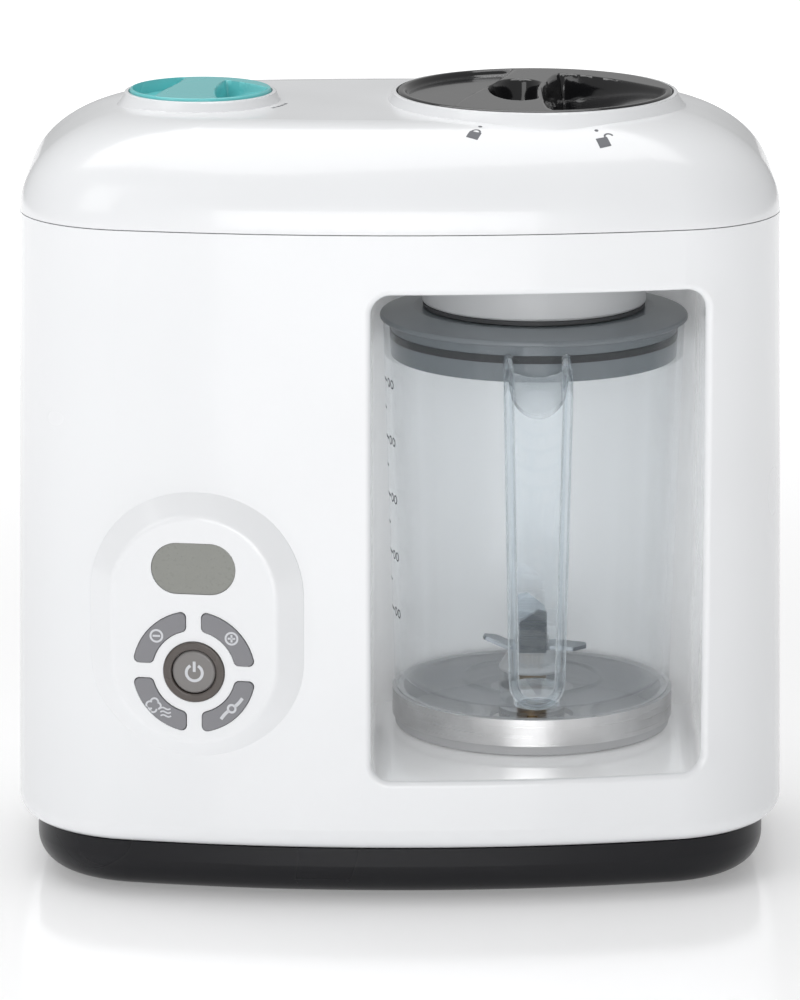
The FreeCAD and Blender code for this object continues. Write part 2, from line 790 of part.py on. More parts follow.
def pulley(label, radius, x):
    """A flat-belt pulley with two flanges, bored for its shaft."""
    rim, low, high = f"{radius} + 2.6", "pulley_bottom", "pulley_top"
    bore = f"shaft_radius + {RUNNING_GAP}"
    corners = [
        (bore, low), (rim, low), (rim, f"{low} + 1.1"), (radius, f"{low} + 1.1"),
        (radius, f"{high} - 1.1"), (rim, f"{high} - 1.1"), (rim, high), (bore, high),
    ]
    keep(label, turned(label, corners, x))


def bearing_ring(label, low, high, x, outer="8"):
    """One plain bearing bush round a shaft."""
    return turned(label, ring_corners(f"shaft_radius + {RUNNING_GAP}", outer, low, high), x)


def drive_train():
    """Belt, driven pulley, shaft, bearings and the coupling that turns the jug's blade."""
    belt = belt_loop(size("belt_thickness") + 0.1, size("belt_bottom"), size("belt_top"))
    belt = belt.cut(belt_loop(0.1, size("belt_bottom") - 1, size("belt_top") + 1))
    shape_part("drive_belt", belt)
    pulley("drive_pulley_wheel", "drive_pulley", "bay_x")
    shaft_low = "pulley_bottom - 2"
    shaft = cylinder("drive_shaft", "shaft_radius", shaft_low, "38", "bay_x")
    keep("drive_shaft", shaft, shaft_low)
    carrier = turned(
        "drive_bearing_carrier",
        [("8.1", "22.6"), ("15", "22.6"), ("15", "33.4"), ("26", "33.4"), ("26", "36.1"), ("8.1", "36.1")],
        "bay_x",
    )
    keep("drive_bearing_carrier", carrier)
    lower = bearing_ring("lower_bearing", "23", "28", "bay_x")
    upper = bearing_ring("upper_bearing", "30", "35.6", "bay_x")
    motor_lower = bearing_ring("motor_lower_bush", "motor_bottom", "motor_bottom + 5", "motor_x")
    motor_upper = bearing_ring("motor_upper_bush", "motor_top - 2.6", "motor_top + 2.6", "motor_x")
    keep("shaft_bushes", group("shaft_bushes", lower, upper, motor_lower, motor_upper))
    hub = cylinder("coupling_hub", "8", "36.4", "39", "bay_x")
    tang = box(
        "coupling_tang",
        ("bay_x - tang_half", "0 - tang_length", "38.4"),
        ("bay_x + tang_half", "tang_length", "tang_top"),
    )
    bore = cylinder("coupling_bore", f"shaft_radius + {RUNNING_GAP}", "36", "38.05", "bay_x")
    keep("drive_coupling", cut("drive_coupling", fuse("coupling_solid", hub, tang), bore))


def motor():
    """The motor, upright on its bracket, with rotor, shaft, fan and pulley."""
    x, radius, low, high = size("motor_x"), size("motor_radius"), size("motor_bottom"), size("motor_top")
    can = tube(radius - 1.6, radius, low, high, x)
    end = disc(radius - 0.5, low, low + 2.4, x).cut(disc(8.2, low - 1, low + 4, x))
    for turn in (0, 90, 180, 270):
        vent = block((x + 12, -3, low + 12), (x + 40, 3, low + 22))
        vent.rotate(Vector(x, 0, 0), Z_AXIS, turn)
        can = can.cut(vent)
    cap = disc(radius, high + 0.1, high + 3, x).cut(disc(8.2, high - 1, high + 4, x))
    shape_part("motor_can", Part.makeCompound([can.fuse(end), cap]))
    bore = f"shaft_radius + {RUNNING_GAP}"
    rotor = ring_corners(bore, "motor_radius - 6", "motor_bottom + 10", "motor_top - 10")
    keep("motor_rotor", turned("motor_rotor", rotor, "motor_x"))
    magnets = tube(radius - 5.2, radius - 1.8, low + 26, high - 8, x)
    magnets = magnets.cut(block((x - 3, -40, low), (x + 3, 40, high)))
    shape_part("motor_magnets", magnets)
    shaft_low = "pulley_bottom - 2"
    shaft = cylinder("motor_shaft", "shaft_radius", shaft_low, "motor_top + 14", "motor_x")
    keep("motor_shaft", shaft, shaft_low)
    pulley("motor_pulley_wheel", "motor_pulley", "motor_x")
    hub = tube(size("shaft_radius") + RUNNING_GAP, 7.5, high + 5, high + 13, x)
    for index in range(7):
        blade = block((6.5, -0.7, high + 5), (radius - 1, 0.7, high + 13))
        blade.rotate(Vector(6.5, 0, high + 9), X_AXIS, 35)
        blade.rotate(Vector(0, 0, 0), Z_AXIS, index * 360 / 7)
        blade.translate(Vector(x, 0, 0))
        hub = hub.fuse(blade)
    shape_part("motor_fan", hub)
    plate = block((x - 36, -34, low - 3.2), (x + 31, 34, low - 0.1)).cut(disc(7, 0, 60, x))
    for post_x, post_y in ((x - 30, -28), (x - 30, 28), (x + 25, -28), (x + 25, 28)):
        plate = plate.fuse(disc(4.5, size("base_bottom") + 3.1, low - 3, post_x, post_y))
    shape_part("motor_bracket", plate)


# ---------------------------------------------------------------- water system


def rounded_box(left, right, front, back, low, high, radius):
    """An upright box with round corners."""
    plan = [(left, front), (right, front), (right, back), (left, back)]
    points = [Vector(px, py, low) for px, py in plan]
    return prism(rounded_wire(points, [radius] * 4), Vector(0, 0, high - low))


def water_tank():
    """The tank under the filler cap, with its neck and outlet."""
    left, right, front, back = (size(f"tank_{side}") for side in ("left", "right", "front", "back"))
    low, high, wall = size("tank_bottom"), size("tank_top"), size("tank_wall")
    cap_x, neck = size("cap_x"), size("neck_radius")
    tank = rounded_box(left, right, front, back, low, high, 16)
    tank = tank.fuse(disc(neck, high - 1, size("neck_top"), cap_x))
    outlet_x = size("boiler_x")
    tank = tank.fuse(disc(5.0, low - 9, low + 1, outlet_x, 16))
    room = rounded_box(left + wall, right - wall, front + wall, back - wall, low + wall, high - wall, 14)
    tank = tank.cut(room).cut(disc(neck - wall, high - 10, 300, cap_x))
    shape_part("water_tank", tank.cut(disc(2.6, low - 20, low + 10, outlet_x, 16)))


def knob_plan(radius, points, radii, margin):
    """A region of a knob's face, from corners in shares of the radius, kept inside the rim."""
    corners = [Vector(px * radius, py * radius, 200) for px, py in points]
    region = prism(rounded_wire(corners, [share * radius for share in radii]), Vector(0, 0, 150))
    return region.common(disc(radius - margin, 200, 350))


def above_slope(x_low, z_low, x_high, z_high):
    """Everything over a floor that climbs straight from one x and z to another."""
    far = 120
    slope = (z_high - z_low) / (x_high - x_low)
    points = [
        Vector(-far, -far, z_low + slope * (-far - x_low)), Vector(far, -far, z_low + slope * (far - x_low)),
        Vector(far, -far, z_low + 300), Vector(-far, -far, z_low + 300),
    ]
    return prism(rounded_wire(points, [0] * 4), Vector(0, 2 * far, 0))


def knob(radius, low, high, left_depth, right_depth):
    """A round turning knob: a slanting grip bar between a dished left side and a deep right hollow."""
    body = revolve([(0, low), (radius, low), (radius, high), (0, high)], [0, 0.6, 1.4, 0])
    left = knob_plan(radius, [(-0.66, -0.80), (-0.13, 1.02), (-1.4, 1.4), (-1.4, -0.80)], [0] * 4, 3.0)
    floor = above_slope(-radius, high - left_depth, -0.2 * radius, high - left_depth * 0.7)
    body = body.cut(left.common(floor))
    right = knob_plan(
        radius,
        [(0.06, -1.1), (1.4, -1.1), (1.4, 0.44), (0.74, 0.50), (0.20, 0.84), (0.04, 0.30)],
        [0.1, 0, 0, 0.12, 0.16, 0.3], 3.0,
    )
    floor = above_slope(0.1 * radius, high - right_depth, 0.9 * radius, high - 2.4)
    return body.cut(right.common(floor))


def finger_well(x, y, half_x, half_y, floor, high, turn):
    """A deep oval hollow with sloped sides."""
    lower = Part.Ellipse(Vector(0, 0, floor), max(half_x, half_y) * 0.8, min(half_x, half_y) * 0.7)
    upper = Part.Ellipse(Vector(0, 0, high), max(half_x, half_y), min(half_x, half_y))
    wires = [Part.Wire([ellipse.toShape()]) for ellipse in (lower, upper)]
    well = Part.makeLoft(wires, True, True)
    if half_y > half_x:
        well.rotate(Vector(0, 0, 0), Z_AXIS, 90)
    well.rotate(Vector(0, 0, 0), Z_AXIS, turn)
    well.translate(Vector(x, y, 0))
    return well


def tank_cap():
    """The green cap of the water tank, its seal, and the skirt that turns onto the neck."""
    radius, low, high, x = size("cap_radius"), size("cap_bottom"), size("cap_top"), size("cap_x")
    cap = knob(radius, low, high, 6.0, 9.5)
    neck = size("neck_radius")
    skirt = tube(neck + 0.6, neck + 3.0, size("neck_top") - 9, low + 1, 0)
    cap = cap.fuse(skirt)
    cap.translate(Vector(x, 0, 0))
    shape_part("tank_cap", cap)
    seal = ring_corners("neck_radius - 3", "neck_radius + 0.4", "neck_top + 0.3", "cap_bottom - 0.05")
    keep("tank_cap_seal", turned("tank_cap_seal", seal, "cap_x"))


def pipe(points, bends, radius, bore):
    """A hose along straight runs joined by tangent arcs."""
    edges = []
    last = points[0]
    for index, bend in enumerate(bends, start=1):
        start, middle, end = corner_arc(points[index - 1], points[index], points[index + 1], bend)
        edges.append(Part.LineSegment(last, start).toShape())
        edges.append(Part.Arc(start, middle, end).toShape())
        last = end
    edges.append(Part.LineSegment(last, points[-1]).toShape())
    path = Part.Wire(edges)
    solids = []
    for ring in (radius, bore):
        circle = Part.Circle(points[0], points[1] - points[0], ring).toShape()
        solids.append(path.makePipeShell([Part.Wire([circle])], True, False))
    return solids[0].cut(solids[1])


def boiler():
    """The steam boiler, its hoses, thermostat and fuse, and the nozzle at the steam collar."""
    x, y, radius = size("boiler_x"), size("boiler_y"), size("boiler_radius")
    low, high = size("boiler_bottom"), size("boiler_top")
    pot = revolve([(0, low), (radius, low), (radius, high - 8), (0, high - 8)], [0, 4, 0, 0], x, y)
    pot = pot.cut(disc(radius - 4, low + 6, high, x, y))
    shape_part("boiler_pot", pot)
    cover = disc(radius + 3, high - 7.9, high - 4, x, y)
    for spigot_y in (y - 12, y + 14):
        cover = cover.fuse(disc(2.5, high - 5, high + 7, x, spigot_y))
        cover = cover.cut(disc(1.5, high - 12, high + 8, x, spigot_y))
    shape_part("boiler_cover", cover)
    element = ring_corners(
        "boiler_radius - 14", "boiler_radius - 8", "boiler_bottom + 6.1", "boiler_bottom + 10",
    )
    keep("heating_element", turned("heating_element", element, "boiler_x", "boiler_y"))
    legs = [
        cylinder(
            f"boiler_post_{index}", "3", "base_bottom + 3.1", "boiler_bottom - 0.1",
            f"boiler_x + ( {dx} )", f"boiler_y + ( {dy} )",
        )
        for index, (dx, dy) in enumerate(four_corners(14, 14))
    ]
    keep("boiler_posts", group("boiler_posts", *legs))
    switch = disc(6.5, high - 3.9, high + 3, x - 13, y)
    shape_part("thermostat", switch.fuse(disc(2, high, high + 6, x - 13, y)))
    shape_part("thermal_fuse", Part.makeCylinder(2.2, 14, Vector(x + 12, y - 7, high - 1.5), Y_AXIS))
    feed = ring_corners("hose_bore", "hose_radius", "boiler_top + 0.5", "tank_bottom - 9.2")
    feed_hose = turned("feed_hose", feed, "boiler_x", "boiler_y - 12")
    bay_x, over = size("bay_x"), 246.0
    route = [
        Vector(x, y + 14, high + 0.5), Vector(x, y + 14, high + 30), Vector(x, 66, high + 60),
        Vector(x, 66, over), Vector(bay_x, 74, over), Vector(bay_x, 58, over),
    ]
    steam_hose = document.addObject("Part::Feature", "steam_hose")
    steam_hose.Shape = pipe(route, [14, 14, 16, 12], size("hose_radius"), size("hose_bore"))
    keep("water_hoses", group("water_hoses", feed_hose, steam_hose))
    tip = size("sleeve_radius") + 0.4
    nozzle = Part.makeCylinder(2.5, 12, Vector(bay_x, tip, over), Y_AXIS)
    nozzle = nozzle.fuse(Part.makeCylinder(size("hose_radius"), 8, Vector(bay_x, tip, over), Y_AXIS))
    shape_part("steam_nozzle", nozzle.cut(Part.makeCylinder(1.6, 30, Vector(bay_x, 45, over), Y_AXIS)))


def power_board():
    """The mains board on posts at the back wall, and the components of both boards."""
    back = size("board_back")
    board = box("power_board", ("-72", "board_back - 2", "70"), ("-24", "board_back", "160"))
    keep("power_board", board, "70")
    relay = block((-66, back - 18, 84), (-48, back - 2.1, 100))
    capacitor = along_y(7, back - 26, back - 2.1, -38, 92)
    radius = (size("keys_inner") + size("keys_outer")) / 2
    middle = size("power_z")
    at_45 = radius * math.sqrt(0.5)
    places = [(0, 0)] + four_corners(at_45, at_45)
    switches = [on_pad(block((x - 3, 1.9, middle + z - 3), (x + 3, 5.1, middle + z + 3))) for x, z in places]
    shape_part("board_components", Part.makeCompound([relay, capacitor] + switches))


# ---------------------------------------------------------------- lock dial and steam collar


def lock_dial():
    """The black dial over the jug, with its cam skirt and three lugs."""
    radius, low, high, x = size("dial_radius"), size("dial_bottom"), size("dial_top"), size("bay_x")
    well = finger_well(-0.17 * radius, 0.02 * radius, 0.165 * radius, 0.47 * radius, low + 4, high + 0.5, 4)
    dial = knob(radius, low, high, 3.4, 11.5).cut(well)
    dial.translate(Vector(x, 0, 0))
    shape_part("lock_dial", dial)
    cam, wall, half = size("cam_radius"), size("cam_wall"), size("lug_half")
    skirt = tube(cam - wall, cam, size("cam_bottom"), low - 0.05)
    for turn in LUG_TURNS:
        lug_z, reach = size("lug_z"), size("collar_radius") - 0.3
        lug = block((cam - 1, -half, lug_z - half), (reach, half, lug_z + half))
        lug.rotate(Vector(0, 0, 0), Z_AXIS, turn)
        skirt = skirt.fuse(lug)
    skirt.translate(Vector(x, 0, 0))
    shape_part("dial_cam", skirt)
    clip = ring_corners(
        "cam_radius + 0.05", "cam_radius + 5", "dial_well_floor - 5.1", "dial_well_floor - 2.9",
    )
    keep("dial_clip", turned("dial_clip", clip, "bay_x"))


def helical_slot(turn):
    """The slanting slot that a lug of the cam works in, cut through the collar's wall."""
    half_turn = 5.0
    steps = 10
    first, last = -half_turn, size("lock_turn") + half_turn
    slope = size("collar_lift") / size("lock_turn")
    half_height = size("lug_half") + 0.8
    inner, outer = size("collar_radius") - size("collar_wall") - 3, size("collar_radius") + 4
    wires = []
    for step in range(steps + 1):
        angle = first + (last - first) * step / steps
        z = size("lug_z") - slope * angle
        aim = math.radians(angle + turn)
        corners = [
            Vector(r * math.cos(aim), r * math.sin(aim), h)
            for r, h in ((inner, z - half_height), (outer, z - half_height),
                         (outer, z + half_height), (inner, z + half_height))
        ]
        wires.append(Part.makePolygon(corners + corners[:1]))
    return Part.makeLoft(wires, True, True)


def steam_collar():
    """The pale collar that comes down on the jug's lid, its seal, and its guide ribs."""
    x, radius, wall = size("bay_x"), size("collar_radius"), size("collar_wall")
    low, high = size("collar_bottom"), size("collar_top")
    collar = revolve(
        [
            (0, low), (radius, low), (radius, high),
            (radius - wall, high), (radius - wall, low + 3), (0, low + 3),
        ],
        [0, 1.2, 0, 0, 1.5, 0],
    )
    for turn in LUG_TURNS:
        collar = collar.cut(helical_slot(turn))
    for turn in RIB_TURNS:
        rib = block((radius - 1, -2.0, 240), (size("sleeve_radius") + 1.4, 2.0, 263))
        rib.rotate(Vector(0, 0, 0), Z_AXIS, turn)
        collar = collar.fuse(rib)
    collar = collar.cut(block((-7, radius - 6, 240), (7, radius + 6, 252)))
    collar = collar.cut(disc(6.0, low - 1, low + 5))
    for index in range(12):
        angle = index * math.pi / 6
        collar = collar.cut(disc(1.6, low - 1, low + 5, 18 * math.cos(angle), 18 * math.sin(angle)))
    collar.translate(Vector(x, 0, 0))
    shape_part("steam_collar", collar)
    seal = ring_corners(
        "collar_radius - 4", "collar_radius - 0.4", "collar_bottom - 1.6", "collar_bottom - 0.05",
    )
    keep("collar_seal", turned("collar_seal", seal, "bay_x"))


def lock_sensor():
    """The sealed interlock sensor beside the sleeve, which tells whether the jug is locked in."""
    near = "bay_x - sleeve_radius - sleeve_wall - 2"
    sensor = box("lock_sensor", (f"{near} - 9", "-6", "255"), (near, "10", "263"))
    keep("lock_sensor", sensor, "255")


# ---------------------------------------------------------------- jug


def jug_cup():
    """The clear cup with its channel-section handle."""
    x, low, high = size("bay_x"), size("jug_bottom"), size("jug_top")
    foot, rim, wall = size("jug_bottom_radius"), size("jug_top_radius"), size("jug_wall")
    floor = low + 2.8
    outer = revolve([(0, low), (foot, low), (rim, high), (0, high)], [0, 1.5, 1.0, 0])
    room = revolve(
        [(0, floor), (foot - wall, floor), (rim - wall, high + 1), (0, high + 1)], [0, 5, 0, 0]
    )
    cup = outer.fuse(disc(13.0, low - 6.4, low + 1)).fuse(handle())
    cup = cup.cut(room)
    ridge_section = [(26.5, floor - 1), (29.5, floor - 1), (28.6, floor + 1.0), (27.4, floor + 1.0)]
    ridge = revolve(ridge_section, [0, 0, 0, 0])
    hub = disc(11.5, floor - 1, floor + 3.5)
    cup = cup.fuse(ridge).fuse(hub).cut(disc(6.1, low - 10, floor + 10))
    cup.translate(Vector(x, 0, 0))
    shape_part("jug_cup", cup)


def handle():
    """The handle: a tapered loop with a channel down its front, open at the top."""
    front = size("handle_front")
    top, bottom = 206.4, 60.0
    top_half, bottom_half = size("handle_top_half"), size("handle_bottom_half")
    rib = 3.0

    def side(points, radii):
        wire = rounded_wire([Vector(-30, py, pz) for py, pz in points], radii)
        return prism(wire, Vector(60, 0, 0))

    def face(inset, low):
        wire = rounded_wire(
            [Vector(-bottom_half + inset, -130, low), Vector(bottom_half - inset, -130, low),
             Vector(top_half - inset, -130, top + 4), Vector(-top_half + inset, -130, top + 4)],
            [bottom_half - inset - 0.6, bottom_half - inset - 0.6, 0, 0],
        )
        return prism(wire, Vector(0, 80, 0))

    loop = side([(-50, top), (-front, top - 3), (-front + 2, bottom), (-50, bottom + 1)], [0, 13, 15, 0])
    gap = side([(-40, 196), (-83.6, 177), (-82.2, 80), (-72, 73), (-40, 71)], [0, 24, 8, 4, 0])
    channel = side(
        [(-40, 201), (-86.6, 179.5), (-85.0, 68), (-120, 60), (-120, 230), (-40, 230)],
        [0, 26, 3, 0, 0, 0],
    )
    return loop.common(face(0, bottom)).cut(gap).cut(channel.common(face(rib, bottom + rib)))


def jug_base():
    """The steel band, the foot plate, and the bush in the jug's floor."""
    x, low = size("bay_x"), size("jug_ring_bottom")
    high, radius = size("jug_ring_top"), size("jug_ring_radius")
    way = block((x - 4, 20, 0), (x + 4, 90, size("tang_top") + 1.2))
    band = tube(radius - 1.8, radius, low, high, x).cut(way)
    shape_part("jug_band", band)
    foot_low = size("jug_foot_bottom")
    foot = revolve(
        [
            (17, foot_low), (radius - 1.2, foot_low), (radius - 1.2, low - 0.1), (radius - 2.0, low - 0.1),
            (radius - 2.0, low + 11), (radius - 4.5, low + 11),
            (radius - 4.5, foot_low + 2.4), (17, foot_low + 2.4),
        ],
        [0, 0.6, 0, 0, 0, 0, 0, 0], x,
    )
    channel = block((x - 4, 10, 0), (x + 4, 90, 60)).common(disc(radius + 1, 0, size("tang_top") + 1.2, x))
    shape_part("jug_foot", foot.cut(channel))
    bush = ring_corners(f"shaft_radius + {RUNNING_GAP}", "6", "jug_bottom - 6", "jug_bottom + 6")
    keep("jug_bush", turned("jug_bush", bush, "bay_x"))


def blade_set():
    """The spindle with its slotted coupler, the white hub, and the four-winged steel blade."""
    x, low = size("bay_x"), size("jug_foot_bottom") + 0.8
    coupler = disc(13.5, low, low + 5.4)
    half = size("tang_half") + 0.25
    coupler = coupler.cut(block((-half, -20, low - 1), (half, 20, size("tang_top") + 0.4)))
    spindle = disc(size("shaft_radius"), size("tang_top") + 0.5, 76)
    coupler = coupler.fuse(spindle)
    coupler.translate(Vector(x, 0, 0))
    shape_part("blade_spindle", coupler)
    hub = revolve(
        [(4.05, 61.0), (14.5, 61.0), (9.5, 68.5), (9.5, 70), (4.05, 70)], [0, 1.0, 1.5, 0.5, 0], x
    )
    shape_part("blade_hub", hub)
    nut = revolve([(4.05, 71.9), (7.0, 71.9), (7.0, 76), (4.05, 76)], [0, 0, 1.2, 0], x)
    shape_part("blade_nut", nut)
    blade = disc(9.0, 70.1, 71.8)
    for turn, lift, reach in ((-90, 74, 19.5), (90, 74, 19.5), (180, 24, 11.0), (0, -6, 12.0)):
        blade = blade.fuse(wing(turn, lift, reach))
    blade = blade.cut(disc(4.05, 60, 80))
    blade.translate(Vector(x, 0, 0))
    shape_part("blade", blade)


def wing(turn, lift, reach):
    """One wing of the blade: a slanted-tipped plate bent up from the middle by lift degrees."""
    half, thickness, hinge, low = 5.6, 1.6, 10.2, 70.1
    outline = [Vector(-0.2, -half, 0), Vector(reach - 5.5, -half, 0), Vector(reach, half * 0.3, 0),
               Vector(reach - 0.5, half, 0), Vector(-0.2, half, 0)]
    plate = prism(rounded_wire(outline, [0, 1.0, 1.2, 0.8, 0]), Vector(0, 0, thickness))
    plate.rotate(Vector(0, 0, 0), Y_AXIS, -lift)
    plate.translate(Vector(hinge, 0, low))
    root = block((0, -half, low), (hinge, half, low + thickness))
    plate = plate.fuse(root)
    plate.rotate(Vector(0, 0, 0), Z_AXIS, turn)
    return plate


def jug_lid():
    """The grey lid, with its seal ring."""
    x, low, rim = size("bay_x"), size("lid_bottom"), size("lid_rim")
    radius, port = size("lid_radius"), size("lid_port")
    skirt = 57.7
    lid = revolve(
        [(port, 205.2), (40, 205.2), (skirt - 2.4, 204.6), (skirt - 2.4, low), (skirt, low), (skirt, rim),
         (radius, rim), (radius, rim + 1.9), (48.5, 212.2), (41.5, 212.2), (40, 207.6), (port, 207.6)],
        [0, 0, 1.5, 0.6, 0.6, 0, 0.6, 1.2, 1.0, 1.0, 1.0, 0], x,
    )
    shape_part("jug_lid", lid)
    inner, outer = skirt + 0.02, skirt + 0.45
    seal = revolve([(inner, 200), (outer, 200), (outer, 203), (inner, 203)], [0] * 4, x)
    shape_part("lid_seal", seal)


# ---------------------------------------------------------------- build


def build():
    """Make every sub-part."""
    main_housing()
    top_cover()
    base_tray()
    fasteners_and_feet()
    jug_bay()
    cord_gland()
    control_pieces()
    drive_train()
    motor()
    water_tank()
    tank_cap()
    boiler()
    power_board()
    lock_dial()
    steam_collar()
    lock_sensor()
    jug_cup()
    jug_base()
    blade_set()
    jug_lid()


def check_and_export():
    """Stop on any failed object or bad shape, then write one STEP file for each sub-part."""
    document.recompute()
    for thing in document.Objects:
        bad = {"Invalid", "Error"} & set(thing.State)
        if bad:
            raise RuntimeError(f"{thing.Label} is {bad}")
    os.makedirs("parts", exist_ok=True)
    for part in PARTS:
        shape = part.Shape
        if shape.isNull() or not shape.isValid() or not shape.Solids:
            raise RuntimeError(f"{part.Label} has no valid solid")
        print(f"{part.Label}: {len(shape.Solids)} solids, {shape.Volume:.0f} mm3")
    for part in PARTS:
        part.Shape.exportStep(os.path.join("parts", part.Label + ".step"))
    print(f"{len(PARTS)} sub-parts written")


fill_sheet()
build()
check_and_export()
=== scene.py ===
"""Looks of the baby food maker: its finishes, its modelled pieces, and the studio it stands in.

Lengths are in metres, +Z is up and the front faces -Y. Places come from the boxes of the CAD nodes.
"""
import json
import logging
import math
from dataclasses import dataclass, field
from enum import Enum
from functools import cache
from typing import Callable, Sequence

import bmesh
import bpy
from mathutils import Matrix, Vector
from mathutils.bvhtree import BVHTree


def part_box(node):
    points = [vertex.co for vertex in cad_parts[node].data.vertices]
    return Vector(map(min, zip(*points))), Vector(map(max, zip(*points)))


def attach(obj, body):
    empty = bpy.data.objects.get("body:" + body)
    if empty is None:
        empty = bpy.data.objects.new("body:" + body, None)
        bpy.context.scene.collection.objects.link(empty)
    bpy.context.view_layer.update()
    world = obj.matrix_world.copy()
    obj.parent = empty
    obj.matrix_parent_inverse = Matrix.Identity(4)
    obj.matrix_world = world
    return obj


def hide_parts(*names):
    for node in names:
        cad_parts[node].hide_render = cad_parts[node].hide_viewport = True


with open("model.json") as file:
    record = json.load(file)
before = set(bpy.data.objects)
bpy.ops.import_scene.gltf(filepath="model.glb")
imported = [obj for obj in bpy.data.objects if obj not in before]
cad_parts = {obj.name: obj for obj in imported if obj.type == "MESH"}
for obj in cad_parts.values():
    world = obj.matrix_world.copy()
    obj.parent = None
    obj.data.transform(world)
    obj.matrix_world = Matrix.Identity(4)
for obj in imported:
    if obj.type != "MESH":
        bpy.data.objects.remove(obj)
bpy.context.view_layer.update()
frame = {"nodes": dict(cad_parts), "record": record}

logging.basicConfig(level=logging.INFO, format="%(name)s: %(message)s")
log = logging.getLogger("food_maker")

MM = 0.001
INK_LIFT = 0.01 * MM
Colour = tuple[float, float, float]
Place = tuple[float, float, float]
Plan = tuple[float, float]


class Grain(Enum):
    """Which way the fine lines of a brushed metal run, as the pattern's stretch on X, Y and Z."""

    AROUND = (14.0, 14.0, 2600.0)
    ALONG = (40.0, 1800.0, 1800.0)
    CAST = (420.0, 420.0, 420.0)


@dataclass(frozen=True)
class Moulded:
    """A moulded plastic or rubber finish.

    Args:
        name: The material's name.
        colour: Its linear base colour.
        roughness: Its mean roughness.
        coat: Weight of the clear top gloss.
        grain: Size of the moulding grain, in lines to a metre.
        relief: Height of the grain, in metres.
        tone: How far the colour drifts over the piece, as a share.
        handled: How far the roughness drifts where hands and cloths have been.
        specular: Strength of its mirror reflections.
        painted_glow: Painted light: emission in its own colour that makes a thin pale wall glow,
            though it is no lamp.
    """

    name: str
    colour: Colour
    roughness: float
    coat: float = 0.0
    grain: float = 1500.0
    relief: float = 0.00001
    tone: float = 0.03
    handled: float = 0.06
    specular: float = 0.5
    # Painted light: emission strength, so the piece glows though it is no lamp.
    painted_glow: float = 0.0


@dataclass(frozen=True)
class Metal:
    """A bare or cast metal finish.

    Args:
        name: The material's name.
        colour: Its linear colour.
        roughness: Its mean roughness.
        grain: The run of its fine lines.
        relief: Depth of the lines, in metres.
        spread: How far the roughness varies.
    """

    name: str
    colour: Colour
    roughness: float
    grain: Grain = Grain.AROUND
    relief: float = 0.00001
    spread: float = 0.12


@dataclass(frozen=True)
class Clear:
    """A clear moulded plastic finish.

    Args:
        name: The material's name.
        tint: Linear tint of the light that passes through.
        middle: How much it bends and mirrors the light where the wall is seen square on.
        edge: The same where the wall is seen along its surface.
        roughness: Roughness of its hazy patches.
    """

    name: str
    tint: Colour
    middle: float
    edge: float
    roughness: float


CUP_CLEAR = Clear("cup_clear", (0.988, 0.993, 0.996), 0.02, 0.5, 0.012)
HANDLE_CLEAR = Clear("handle_clear", (0.925, 0.948, 0.962), 0.30, 0.98, 0.006)
FOOT_GREY = Moulded("foot_grey", (0.46, 0.465, 0.475), 0.34, 0.15, 1500.0, 0.000008, 0.03, 0.05)
WHITE_SHELL = Moulded("white_shell", (0.84, 0.85, 0.865), 0.24, 0.35, 900.0, 0.000004, 0.015, 0.05)
# The liner's painted_glow of 0.14 is painted light: it glows so the bay behind the jug reads
# brighter.
WHITE_LINER_PAINTED_GLOW = Moulded(
    "white_liner", (0.90, 0.905, 0.91), 0.16, 0.5, 700.0, 0.000004, 0.02, 0.05, painted_glow=0.14,
)
DARK_BASE = Moulded(
    "dark_base", (0.0085, 0.0085, 0.0105), 0.30, 0.0, 2200.0, 0.00002, 0.10, 0.08, 0.25,
)
FOOT_RUBBER = Moulded("foot_rubber", (0.02, 0.02, 0.02), 0.85, 0.0, 900.0, 0.00006, 0.15, 0.08)
GLAND_RUBBER = Moulded(
    "gland_rubber", (0.016, 0.016, 0.018), 0.55, 0.0, 1400.0, 0.00004, 0.12, 0.08,
)
DIAL_BLACK = Moulded("dial_black", (0.006, 0.006, 0.007), 0.13, 0.7, 900.0, 0.000004, 0.10, 0.05)
CAP_TEAL = Moulded("cap_teal", (0.15, 0.585, 0.60), 0.26, 0.35, 900.0, 0.000005, 0.05, 0.06)
KEY_GREY = Moulded("key_grey", (0.225, 0.225, 0.24), 0.45, 0.05, 2000.0, 0.00002, 0.05, 0.06)
RING_BROWN = Moulded("ring_brown", (0.075, 0.062, 0.055), 0.28, 0.3, 1800.0, 0.00001, 0.12, 0.06)
POWER_GREY = Moulded("power_grey", (0.20, 0.19, 0.185), 0.34, 0.25, 1800.0, 0.00001, 0.06, 0.06)
LID_GREY = Moulded("lid_grey", (0.165, 0.185, 0.20), 0.30, 0.25, 1500.0, 0.000008, 0.05, 0.06)
COLLAR_GREY = Moulded("collar_grey", (0.52, 0.53, 0.54), 0.30, 0.2, 1500.0, 0.000008, 0.04, 0.06)
SEAL_SILICONE = Moulded(
    "seal_silicone", (0.045, 0.047, 0.05), 0.6, 0.0, 1200.0, 0.00002, 0.08, 0.06,
)
HUB_WHITE = Moulded("hub_white", (0.62, 0.63, 0.64), 0.34, 0.15, 1500.0, 0.000008, 0.03, 0.05)
MEMBRANE = Moulded("membrane", (0.34, 0.34, 0.34), 0.7, 0.0, 1200.0, 0.00002, 0.05, 0.05)
PRINT_DARK = Moulded("print_dark", (0.045, 0.047, 0.055), 0.5, 0.0, 2600.0, 0.000006, 0.10, 0.05)
PRINT_LIGHT = Moulded("print_light", (0.62, 0.63, 0.66), 0.5, 0.0, 2600.0, 0.000006, 0.05, 0.05)
PRINT_GREY = Moulded("print_grey", (0.13, 0.135, 0.15), 0.5, 0.0, 2600.0, 0.000006, 0.10, 0.05)
PULLEY_BLACK = Moulded("pulley_black", (0.03, 0.03, 0.032), 0.5, 0.0, 1300.0, 0.00003, 0.10, 0.06)
